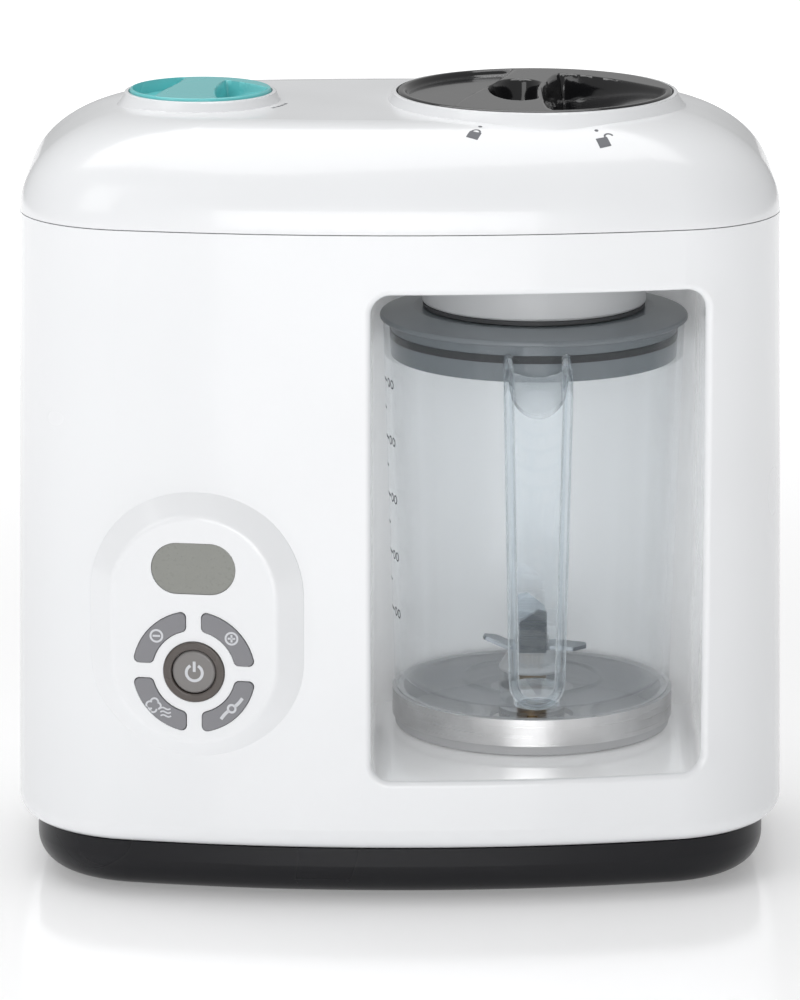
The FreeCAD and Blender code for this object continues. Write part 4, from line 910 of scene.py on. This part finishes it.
@dataclass
class Housing:
    """The white shell, its top, the dark base and what is printed on them.

    Args:
        mark_turn: How far the padlocks stand to each side of the dial's front, in degrees.
        mark_reach: How far the padlocks' dots stand in front of the dial's rim.
        mark_line: Width of the padlocks' thin lines.
        mark_length: Distance from a padlock's foot to its dot's far side.
        dash_reach: How far the cap's short lines stand from its rim.
        dash_turn: Where they start round the cap, in degrees.
        dashes: How many there are.
        dash_step: Distance from one to the next.
        top: Search tree of the top cover, made when it is first needed.
    """

    mark_turn: float = 21.0
    mark_reach: float = 10.5 * MM
    mark_line: float = 0.75 * MM
    mark_length: float = 7.0 * MM
    dash_reach: float = 7.5 * MM
    dash_turn: float = -34.0
    dashes: int = 4
    dash_step: float = 3.4 * MM
    top: BVHTree | None = None

    def dress(self) -> None:
        """Give the shells, base, feet and inlet their finishes."""
        dress(moulded(WHITE_SHELL), "main_housing", "rear_panel", "top_cover")
        # The jug bay's liner glows with painted light.
        dress(moulded(WHITE_LINER_PAINTED_GLOW), "jug_bay")
        dress(moulded(DARK_BASE), "base_tray")
        dress(moulded(FOOT_RUBBER), "rubber_feet")
        dress(metal(SCREW_STEEL), "base_screws")
        dress(moulded(GLAND_RUBBER), "cord_gland")

    def on_top(self, x: float, y: float) -> tuple[Vector, Vector]:
        """The place on the top cover over a point, and the surface's normal there.

        Args:
            x: X of the point.
            y: Y of the point.

        Returns:
            The place and the normal.
        """
        if self.top is None:
            graph = bpy.context.evaluated_depsgraph_get()
            self.top = BVHTree.FromObject(frame["nodes"]["top_cover"], graph)
        place, normal, _, _ = self.top.ray_cast(Vector((x, y, 1.0)), Vector((0.0, 0.0, -1.0)))
        return place + normal * INK_LIFT, normal

    def padlock(self, marks: Print, is_open: bool) -> None:
        """Draw one padlock with its dot.

        Args:
            marks: Where it is drawn.
            is_open: Whether the shackle stands open.
        """
        marks.stroke([(-2.3 * MM, 0), (2.3 * MM, 0)], self.mark_line)
        marks.stroke([(-2.3 * MM, 4.0 * MM), (2.3 * MM, 4.0 * MM)], self.mark_line)
        marks.bar((-2.0 * MM, 2.0 * MM), 0.8 * MM, 4.4 * MM)
        marks.bar((2.0 * MM, 2.0 * MM), 0.8 * MM, 4.4 * MM)
        marks.bar((0.0, 2.0 * MM), 3.4 * MM, 3.4 * MM)
        shift = 3.2 * MM if is_open else 0.0
        marks.arc((shift, 4.4 * MM), 1.6 * MM, 0, 180, self.mark_line)
        marks.dot((0.0, 9.2 * MM), 0.8 * MM)

    def print_padlocks(self) -> None:
        """Print the closed and the open padlock in front of the dial."""
        centre = middle_of("lock_dial")
        low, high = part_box("lock_dial")
        reach = (high.x - low.x) / 2 + self.mark_reach + self.mark_length
        for name, side, is_open in (("lock_mark_closed", -1, False), ("lock_mark_open", 1, True)):
            marks = Print()
            self.padlock(marks, is_open)
            lean = math.radians(side * self.mark_turn)
            out = Vector((math.sin(lean), -math.cos(lean)))
            right = Vector((math.cos(lean), math.sin(lean)))

            def place(u: float, v: float) -> tuple[Vector, Vector]:
                spot = centre.xy + out * (reach - v) + right * u
                return self.on_top(spot.x, spot.y)

            finish_piece(name, marks.lay(place), "body", "dark_base", moulded(PRINT_GREY))

    def print_dashes(self) -> None:
        """Print the four short lines beside the tank's cap."""
        centre = middle_of("tank_cap")
        low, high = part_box("tank_cap")
        reach = (high.x - low.x) / 2 + self.dash_reach
        marks = Print()
        for index in range(self.dashes):
            marks.bar((index * self.dash_step, 0.0), 2.2 * MM, 1.1 * MM)

        def place(u: float, v: float) -> tuple[Vector, Vector]:
            turn = math.radians(self.dash_turn) + u / reach
            spot = centre.xy + Vector((math.cos(turn), math.sin(turn))) * (reach + v)
            return self.on_top(spot.x, spot.y)

        laid = marks.lay(place)
        finish_piece("cap_position_marks", laid, "body", "dark_base", moulded(PRINT_GREY))


# ---------------------------------------------------------------- control pad


@dataclass
class ControlPad:
    """The display, the keys round the power button, and their symbols.

    Args:
        line: Width of the thin lines.
        power_line: Width of the power symbol's lines.
        ring_line: Width of the minus's and plus's lines.
    """

    line: float = 0.75 * MM
    power_line: float = 1.15 * MM
    ring_line: float = 0.8 * MM

    def dress(self) -> None:
        """Give the display, keys, ring and button their finishes."""
        dress(display_glass(), "display_window")
        dress(moulded(LCD_BODY), "lcd_module")
        dress(moulded(RING_BROWN), "power_ring")
        dress(moulded(POWER_GREY), "power_button")
        dress(moulded(KEY_GREY), "minus_key", "plus_key", "steam_key", "blend_key")
        dress(moulded(MEMBRANE), "key_membrane")
        dress(circuit_board(), "control_board", "power_board")
        dress(moulded(COMPONENT_BLACK), "board_components")

    def face_of(self, node: str) -> tuple[BVHTree, Vector, Vector]:
        """A key's surface, with the pad's directions out of the body and to the right.

        Args:
            node: The CAD node of the key.

        Returns:
            The surface's search tree, the outward direction and the direction to the right.
        """
        joints = frame["record"]["behaviour"]["joints"]
        joint = next(joint for joint in joints if joint["name"] == "power_press")
        into = Vector(joint["axis"]).normalized()
        right = Vector((into.y, -into.x, 0.0))
        tree = BVHTree.FromObject(frame["nodes"][node], bpy.context.evaluated_depsgraph_get())
        return tree, -into, right

    def lay_on(self, name: str, marks: Print, node: str, body: str, spot: Plan) -> None:
        """Lay a symbol on the face of a key.

        Args:
            name: The piece's name.
            marks: The drawn symbol.
            node: The CAD node it lies on.
            body: The CAD body it rides on.
            spot: Where its middle is, from the power button's middle, to the right and up.
        """
        tree, out, right = self.face_of(node)
        centre = middle_of("power_button")

        def place(u: float, v: float) -> tuple[Vector, Vector]:
            start = centre + right * (spot[0] + u) + Vector((0.0, 0.0, spot[1] + v)) + out * 0.05
            hit, _, _, _ = tree.ray_cast(start, -out)
            if hit is None:
                return start - out * 0.05, out
            return hit + out * INK_LIFT, out

        finish_piece(name, marks.lay(place), body, "key_grey", moulded(PRINT_LIGHT))

    def print_power(self) -> None:
        """Print the broken ring and bar of the power symbol."""
        marks = Print()
        marks.arc((0.0, 0.0), 3.2 * MM, 118, 422, self.power_line)
        marks.stroke([(0.0, 0.4 * MM), (0.0, 4.6 * MM)], self.power_line)
        self.lay_on("power_symbol", marks, "power_button", "power", (0.0, -0.3 * MM))

    def print_level(self, name: str, node: str, body: str, side: float, plus: bool) -> None:
        """Print a ringed minus or plus.

        Args:
            name: The piece's name.
            node: The key's CAD node.
            body: The key's body.
            side: -1 on the left, 1 on the right.
            plus: Whether the upright of the plus is drawn.
        """
        marks = Print()
        marks.arc((0.0, 0.0), 2.35 * MM, 0, 360, self.ring_line)
        marks.stroke([(-1.5 * MM, 0.0), (1.5 * MM, 0.0)], self.ring_line)
        if plus:
            marks.stroke([(0.0, -1.5 * MM), (0.0, 1.5 * MM)], self.ring_line)
        self.lay_on(name, marks, node, body, (side * 15.0 * MM, 14.2 * MM))

    def print_steam(self) -> None:
        """Print the steam cloud with its three wisps."""
        marks = Print()
        for centre_x, centre_y, radius, start, end in (
            (-3.4, 0.6, 1.5, 60, 300), (-1.6, 1.9, 1.5, -10, 170),
            (-2.2, -0.9, 1.4, 180, 360), (-0.4, 0.4, 1.3, -80, 90),
        ):
            marks.arc((centre_x * MM, centre_y * MM), radius * MM, start, end, self.line)
        for index in range(3):
            start_x, start_y = 0.6 + index * 0.1, -0.6 - index * 1.5
            points = [
                ((start_x + step * 0.6) * MM, (start_y + 0.4 * math.sin(step * 0.9)) * MM)
                for step in range(8)
            ]
            marks.stroke(points, 0.6 * MM)
        self.lay_on("steam_symbol", marks, "steam_key", "steam", (-14.4 * MM, -14.6 * MM))

    def print_blend(self) -> None:
        """Print the two-armed blade symbol."""
        marks = Print()
        marks.arc((0.0, 0.0), 1.5 * MM, 0, 360, 0.9 * MM)
        for sign in (-1, 1):
            points = [
                (sign * (1.3 + step * 0.75) * MM, sign * (1.0 + step * (0.55 + step * 0.075)) * MM)
                for step in range(5)
            ]
            marks.stroke(points, 1.3 * MM)
        self.lay_on("blend_symbol", marks, "blend_key", "blend", (14.9 * MM, -14.2 * MM))


# ---------------------------------------------------------------- turning knobs


@dataclass
class Knob:
    """A round turning knob: a level grip bar between a shallow left recess and a deep right hollow.

    Args:
        name: The piece's name.
        node: The CAD node it stands for.
        body: The body it rides on.
        slot: The record's material slot.
        finish: Its plastic.
        recess: Depth of the left recess.
        recess_edge: Where the recess ends, as a share of the radius at the middle line.
        recess_lean: How far that edge leans to the right towards the back.
        hollow: Depth of the right hollow at its left end.
        hollow_edge: Where the hollow starts, as a share of the radius.
        hollow_lip: Depth of the hollow at its right end.
        oval: Depth of the oval well beside the bar, or 0.
        skirt: Outer and inner radius and length of the skirt underneath, or None.
        rings: Rings of faces across the top.
        steps: Steps round the knob.
    """

    name: str
    node: str
    body: str
    slot: str
    finish: Moulded
    recess: float
    recess_edge: float
    recess_lean: float
    hollow: float
    hollow_edge: float
    hollow_lip: float
    oval: float = 0.0
    skirt: tuple[float, float, float] | None = None
    rings: int = 84
    steps: int = 240

    def edge_of_hollow(self, v: float) -> float:
        """The left edge of the hollow.

        Args:
            v: Share of the radius to the back.

        Returns:
            The edge, as a share of the radius to the right.
        """
        back = max(0.0, v + 0.15)
        front = max(0.0, -0.3 - v)
        return self.hollow_edge + 0.2 * back * back + 0.14 * front * front

    def depth_at(self, u: float, v: float) -> float:
        """How far the face is hollowed out at a point.

        Args:
            u: Share of the radius to the right.
            v: Share of the radius to the back.

        Returns:
            The depth.
        """
        inside = ease(0.955, 0.925, math.hypot(u, v))
        edge = self.recess_edge + self.recess_lean * v + 0.03 * math.sin(3.0 * v)
        left = self.recess * ease(0.0, 0.045, edge - u) * inside
        start = self.edge_of_hollow(v)
        back = 0.80 - 0.15 * u - 0.75 * u * u
        floor = self.hollow + (self.hollow_lip - self.hollow) * ease(0.22, 0.96, u + 0.12 * v)
        right = floor * ease(0.012, 0.055, u - start) * ease(0.0, 0.06, back - v) * inside
        middle = 0.0
        if self.oval:
            reach = math.hypot((u + 0.115) / 0.225, (v + 0.02) / 0.50)
            middle = self.oval * ease(1.0, 0.84, reach) * ease(-0.012, -0.05, u - start)
        return max(left, right, middle)

    def build(self) -> bpy.types.Object:
        """Turn the knob's body and sink its face.

        Returns:
            The finished knob.
        """
        low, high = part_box(self.node)
        centre = (low + high) / 2
        radius, top = (high.x - low.x) / 2, high.z
        corners = [(0.0, top, 0.0), (radius * 0.972, top, 0.0), (radius, top, 1.3 * MM)]
        if self.skirt:
            outer, inner, length = self.skirt
            bottom = low.z + length
            corners += [
                (radius, bottom, 0.5 * MM), (outer, bottom, 0.0), (outer, low.z, 0.4 * MM),
                (inner, low.z, 0.4 * MM), (inner, bottom, 0.0), (0.0, bottom, 0.0),
            ]
        else:
            corners += [(radius, low.z, 0.5 * MM), (0.0, low.z, 0.0)]
        axis = (centre.x, centre.y)
        bm = wire(corners, axis, False)
        near = 1e-6
        face = [
            edge for edge in bm.edges
            if min(vert.co.x for vert in edge.verts) < centre.x + near
            and all(vert.co.z > top - near for vert in edge.verts)
        ]
        bmesh.ops.subdivide_edges(bm, edges=face, cuts=self.rings)
        turn_round(bm, axis, self.steps)
        for vert in bm.verts:
            if vert.co.z > top - near:
                u, v = (vert.co.x - centre.x) / radius, (vert.co.y - centre.y) / radius
                vert.co.z -= self.depth_at(u, v)
        finish = moulded(self.finish)
        return finish_piece(self.name, bm, self.body, self.slot, finish, (self.node,), 60.0)


# ---------------------------------------------------------------- jug


@dataclass
class Jug:
    """The clear jug with its handle, band, foot, blade, lid and printed levels.

    Args:
        wall: Thickness of the cup's wall.
        floor: Thickness of the cup's floor.
        spigot: Depth of the spigot under the floor.
        bore: Radius of the hole for the blade's bush.
        rail: Half width and half depth of the handle's rails.
        heel: Height of the handle's lowest point over the cup's foot.
        bend: Radius of the bend at the top of each rail.
        top_gap: Distance from the cup's rim down to the top of the rails.
        web: Thickness of the sheet between the rails.
        foot_half: Half width of the handle at its foot.
        top_half: Half width of the handle at its top.
        scoop: Depth of the scoop at the handle's top.
        sides: Sides of the rails' bars.
        levels: How many level lines are printed.
        level_turn: Where round the wall they start, in degrees.
    """

    wall: float = 2.4 * MM
    floor: float = 2.8 * MM
    spigot: float = 6.4 * MM
    bore: float = 6.1 * MM
    rail: Plan = (2.1 * MM, 3.2 * MM)
    heel: float = 12.0 * MM
    bend: float = 10.0 * MM
    top_gap: float = 6.0 * MM
    web: float = 1.8 * MM
    foot_half: float = 11.2 * MM
    top_half: float = 13.6 * MM
    scoop: float = 14.0 * MM
    sides: int = 20
    levels: int = 9
    level_turn: float = 181.0

    def __post_init__(self) -> None:
        """Read where the cup stands from the boxes of its CAD nodes."""
        low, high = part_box("jug_cup")
        band_low, band_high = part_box("jug_band")
        self.x, self.top, self.front = (low.x + high.x) / 2, high.z, low.y
        self.rim = (high.x - low.x) / 2
        self.foot = (band_high.x - band_low.x) / 2 - 1.1 * MM
        self.base = low.z + self.spigot
        self.turn_z = self.base + self.heel + self.foot_half

    def dress(self) -> None:
        """Give the jug's CAD nodes their finishes."""
        dress(metal(BAND_STEEL), "jug_band")
        dress(moulded(FOOT_GREY), "jug_foot")
        dress(moulded(HUB_WHITE), "blade_hub")
        dress(metal(BEARING_BRONZE), "jug_bush")
        dress(metal(STEEL), "blade_spindle", "blade_nut")
        dress(metal(BLADE_STEEL), "blade")
        dress(moulded(LID_GREY), "jug_lid")
        dress(moulded(SEAL_SILICONE), "lid_seal")
        dress(clear_plastic(CUP_CLEAR), "jug_cup")

    def build_cup(self) -> None:
        """Turn the tapered cup with its rim, its ringed floor and the spigot for the blade."""
        low, floor = self.base, self.base + self.floor
        end, ridge, collar = low - self.spigot, floor + 1.0 * MM, floor + 3.5 * MM
        axis = (self.x, 0.0)
        corners = [
            (self.bore, end, 0.0), (13.0 * MM, end, 0.6 * MM), (13.0 * MM, low, 0.0),
            (self.foot, low, 1.5 * MM), (self.rim, self.top, 1.0 * MM),
            (self.rim - self.wall, self.top, 0.8 * MM), (self.foot - self.wall, floor, 5.0 * MM),
            (29.5 * MM, floor, 0.0), (28.6 * MM, ridge, 0.3 * MM), (27.4 * MM, ridge, 0.3 * MM),
            (26.5 * MM, floor, 0.0), (11.5 * MM, floor, 0.0), (11.5 * MM, collar, 0.8 * MM),
            (self.bore, collar, 0.0),
        ]
        bm = wire(corners, axis, True)
        turn_round(bm, axis, 128)
        clear = clear_plastic(CUP_CLEAR)
        finish_piece("jug_cup_wall", bm, "jug", "jug_clear", clear, ("jug_cup",), 30.0)

    def rails(self, bm: bmesh.types.BMesh) -> None:
        """Run one rail down, round the foot of the handle and up again.

        Args:
            bm: The handle's mesh.
        """
        wide, deep = self.rail
        reach = self.foot_half - wide
        spread = self.top_half - wide
        depth = self.front + deep
        bend_z = self.top - self.top_gap - self.bend
        fall = self.turn_z - bend_z
        flat = Matrix.Diagonal((wide, deep, 1.0, 1.0))
        shares = [step / 8 for step in range(9)]
        turns = [math.pi * step / 12 for step in range(1, 13)]
        path = [
            (-spread + (spread - reach) * share, bend_z + fall * share, 0.0) for share in shares
        ]
        path += [
            (-reach * math.cos(angle), self.turn_z - reach * math.sin(angle), angle)
            for angle in turns
        ]
        path += [
            (reach + (spread - reach) * share, self.turn_z - fall * share, math.pi)
            for share in shares[1:]
        ]
        sections = [
            Matrix.Translation((self.x + x, depth, z)) @ Matrix.Rotation(-angle, 4, "Y") @ flat
            for x, z, angle in path
        ]

        def bent(side: float) -> list[Matrix]:
            """The sections round the top bend of one rail and back into the wall.

            Args:
                side: -1 for the left rail, 1 for the right one.

            Returns:
                The sections, from the rail to the wall.
            """
            steps = [math.pi / 2 * step / 6 for step in range(1, 7)]
            places = [
                (
                    depth + (1 - math.cos(angle)) * self.bend,
                    bend_z + self.bend * math.sin(angle),
                    angle,
                )
                for angle in steps
            ]
            places.append((-self.rim + self.wall / 2, bend_z + self.bend, math.pi / 2))
            x = self.x + side * spread
            return [
                Matrix.Translation((x, y, z)) @ Matrix.Rotation(-angle, 4, "X") @ flat
                for y, z, angle in places
            ]

        turned = [section @ Matrix.Rotation(math.pi, 4, "Y") for section in bent(1.0)]
        sweep(bm, bent(-1.0)[::-1] + sections + turned, self.sides)

    def scoop_point(self, across: float, along: float) -> Vector:
        """A point of the sheet between the rails, up the web, over its lip and back to the cup.

        Args:
            across: From -1 at the left rail to 1 at the right one.
            along: From 0 at the foot of the web to 1 at the lip and 2 at the cup's rim.

        Returns:
            The point.
        """
        wide, deep = self.rail
        dip = self.scoop * math.sqrt(max(0.0, 1.0 - across * across))
        lip = self.top - self.top_gap - 2.0 * MM - dip
        half = self.foot_half + (self.top_half - self.foot_half) * min(1.0, along) - wide
        x, front = across * half, self.front + 1.6 * deep
        if along <= 1.0:
            return Vector((self.x + x, front, self.turn_z + (lip - self.turn_z) * along))
        share = along - 1.0
        back = -math.sqrt(max(0.0, (self.rim - self.wall / 2) ** 2 - x ** 2))
        rise = (dip * 0.55 + 2.0 * MM) * math.sin(share * math.pi / 2)
        return Vector((self.x + x, front + (back - front) * share, lip + rise))

    def build_handle(self) -> None:
        """Build the handle: two joined rails, with a thin web and a scoop between them."""
        bm = bmesh.new()
        sheet = bmesh.ops.create_grid(bm, x_segments=24, y_segments=30, size=1.0)["verts"]
        for vert in sheet:
            vert.co = self.scoop_point(vert.co.x, vert.co.y + 1.0)
        bmesh.ops.solidify(bm, geom=list(bm.faces), thickness=self.web)
        self.rails(bm)
        wide, _ = self.rail
        height = self.base + self.heel + 2.5 * MM
        section = Matrix.Rotation(math.pi / 2, 4, "X") @ Matrix.Diagonal(
            (self.foot_half - wide, 2.4 * MM, 1.0, 1.0)
        )
        stops = (self.front + 3.0 * MM, self.front + 12.0 * MM, -self.foot + self.wall / 2)
        bar = [Matrix.Translation((self.x, y, height)) @ section for y in stops]
        sweep(bm, bar, self.sides)
        clear = clear_plastic(HANDLE_CLEAR)
        finish_piece("jug_handle", bm, "jug", "jug_clear", clear, crease=50.0)

    def print_levels(self) -> None:
        """Print the level lines up the left of the jug's wall."""
        centre = middle_of("jug_band")
        _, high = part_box("jug_band")
        graph = bpy.context.evaluated_depsgraph_get()
        cup = BVHTree.FromObject(frame["nodes"]["jug_cup"], graph)
        marks = Print()
        start, span = high.z + 34 * MM, self.top - high.z - 58 * MM
        for index in range(self.levels):
            height = start + span * index / (self.levels - 1)
            length = 9.0 * MM if index % 2 == 0 else 5.5 * MM
            marks.bar((length / 2, height), length, 0.9 * MM)
            if index % 2 == 0:
                for ring in (12.5 * MM, 17.0 * MM):
                    marks.arc((ring, height), 1.6 * MM, 0, 360, 0.6 * MM)

        def place(u: float, v: float) -> tuple[Vector, Vector]:
            turn = math.radians(self.level_turn) + u / 0.058
            out = Vector((math.cos(turn), math.sin(turn), 0.0))
            hit, _, _, _ = cup.ray_cast(Vector((centre.x, 0.0, v)) + out * 0.2, -out)
            return hit + out * INK_LIFT, out

        finish_piece("jug_level_marks", marks.lay(place), "jug", "lid_grey", moulded(PRINT_DARK))


# ---------------------------------------------------------------- what is inside


@dataclass
class Insides:
    """The collar, the water system, the motor and the drive."""

    def dress(self) -> None:
        """Give the inner nodes their finishes."""
        dress(moulded(COLLAR_GREY), "steam_collar")
        dress(moulded(SEAL_SILICONE), "collar_seal", "tank_cap_seal")
        dress(moulded(DIAL_BLACK), "dial_cam", "lock_dial")
        dress(moulded(CAP_TEAL), "tank_cap")
        dress(metal(STEEL), "dial_clip", "drive_shaft", "motor_shaft")
        dress(moulded(TANK_MILKY), "water_tank")
        dress(metal(BOILER_ALLOY), "boiler_pot", "boiler_cover")
        dress(metal(BOILER_ALLOY), "drive_bearing_carrier", "motor_bracket")
        dress(metal(ELEMENT_STEEL), "heating_element")
        dress(moulded(CERAMIC), "boiler_posts", "thermal_fuse")
        dress(moulded(COMPONENT_BLACK), "thermostat", "lock_sensor")
        dress(moulded(HOSE_SILICONE), "water_hoses")
        dress(metal(BRASS), "steam_nozzle")
        dress(moulded(BELT_RUBBER), "drive_belt")
        dress(moulded(PULLEY_BLACK), "drive_pulley_wheel", "motor_pulley_wheel")
        dress(moulded(PULLEY_BLACK), "motor_fan", "drive_coupling")
        dress(metal(BEARING_BRONZE), "shaft_bushes")
        dress(moulded(MOTOR_PAINT), "motor_can")
        dress(metal(ROTOR_STEEL), "motor_rotor")
        dress(metal(MAGNET), "motor_magnets")


# ---------------------------------------------------------------- studio


@dataclass
class Studio:
    """The pale floor, the soft lights and the camera.

    Args:
        distance: From the camera to the point it looks at.
        elevation: The camera's height over that point, in degrees.
        lens: Its focal length in millimetres.
        aim: Height of the point that it looks at.
        bounces: How many clear walls a ray may pass.
    """

    distance: float = 2.40
    elevation: float = 13.1
    lens: float = 212.6
    aim: float = 0.1445
    bounces: int = 48

    def lay_floor(self) -> None:
        """Lay a wide pale sheet under the appliance."""
        bm = bmesh.new()
        bmesh.ops.create_grid(bm, x_segments=8, y_segments=24, size=3.0)
        mesh = bpy.data.meshes.new("floor_sheet")
        bm.to_mesh(mesh)
        bm.free()
        mesh.shade_smooth()
        sheet = bpy.data.objects.new("floor_sheet", mesh)
        bpy.context.scene.collection.objects.link(sheet)
        mesh.materials.append(studio_floor())

    def area_light(self, name: str, place: Place, target: Place, size: Plan, power: float) -> None:
        """Hang one large soft light.

        Args:
            name: The light's name.
            place: Where it hangs.
            target: What it faces.
            size: Its width and height.
            power: Its power in watts.
        """
        light = bpy.data.lights.new(name, "AREA")
        light.shape = "RECTANGLE"
        light.size, light.size_y = size
        light.energy = power
        lamp = bpy.data.objects.new(name, light)
        lamp.location = place
        lamp.rotation_euler = (Vector(target) - Vector(place)).to_track_quat("-Z", "Y").to_euler()
        bpy.context.scene.collection.objects.link(lamp)

    def light(self) -> None:
        """Light the set from all round, with a soft key from the left and a fill at the front."""
        world = bpy.data.worlds.new("studio_air")
        bpy.context.scene.world = world
        world.use_nodes = True
        sky = world.node_tree.nodes["Background"]
        sky.inputs["Color"].default_value = (1.0, 1.0, 1.0, 1.0)
        sky.inputs["Strength"].default_value = 0.34
        self.area_light("key_left", (-1.8, -1.5, 1.4), (0.0, 0.0, 0.14), (1.4, 1.4), 9.0)
        self.area_light("fill_front", (-0.1, -2.7, 0.6), (0.05, 0.0, 0.14), (1.6, 1.0), 19.0)
        self.area_light("top_soft", (-0.2, 0.3, 2.0), (0.0, 0.0, 0.1), (2.0, 2.0), 26.0)

    def place_camera(self) -> None:
        """Stand the camera in front, a little above the appliance."""
        camera = bpy.data.cameras.new("studio_camera")
        camera.sensor_fit = "VERTICAL"
        camera.sensor_height = 36.0
        camera.lens = self.lens
        stand = bpy.data.objects.new("studio_camera", camera)
        tilt = math.radians(self.elevation)
        height = self.aim + self.distance * math.sin(tilt)
        stand.location = (0.0, -self.distance * math.cos(tilt), height)
        stand.rotation_euler = (math.pi / 2 - tilt, 0.0, 0.0)
        bpy.context.scene.collection.objects.link(stand)
        bpy.context.scene.camera = stand
        bpy.context.scene.view_settings.view_transform = "Standard"
        bpy.context.scene.cycles.transparent_max_bounces = self.bounces


def main() -> None:
    """Build the studio and every piece of the appliance."""
    studio = Studio()
    studio.place_camera()
    studio.lay_floor()
    studio.light()
    Insides().dress()
    housing = Housing()
    housing.dress()
    pad = ControlPad()
    pad.dress()
    jug = Jug()
    jug.dress()
    Knob(
        "lock_dial_knob", "lock_dial", "dial", "dial_black", DIAL_BLACK,
        recess=2.4 * MM, recess_edge=-0.377, recess_lean=0.244,
        hollow=11.3 * MM, hollow_edge=0.03, hollow_lip=2.4 * MM, oval=9.5 * MM,
    ).build()
    Knob(
        "tank_cap_knob", "tank_cap", "cap", "cap_teal", CAP_TEAL,
        recess=4.6 * MM, recess_edge=-0.44, recess_lean=0.2,
        hollow=9.0 * MM, hollow_edge=0.2, hollow_lip=1.8 * MM,
        skirt=(25.5 * MM, 23.1 * MM, 11.4 * MM), rings=60, steps=180,
    ).build()
    housing.print_padlocks()
    housing.print_dashes()
    pad.print_power()
    pad.print_level("minus_symbol", "minus_key", "minus", -1.0, False)
    pad.print_level("plus_symbol", "plus_key", "plus", 1.0, True)
    pad.print_steam()
    pad.print_blend()
    jug.print_levels()
    jug.build_cup()
    jug.build_handle()


if __name__ == "__main__":
    main()
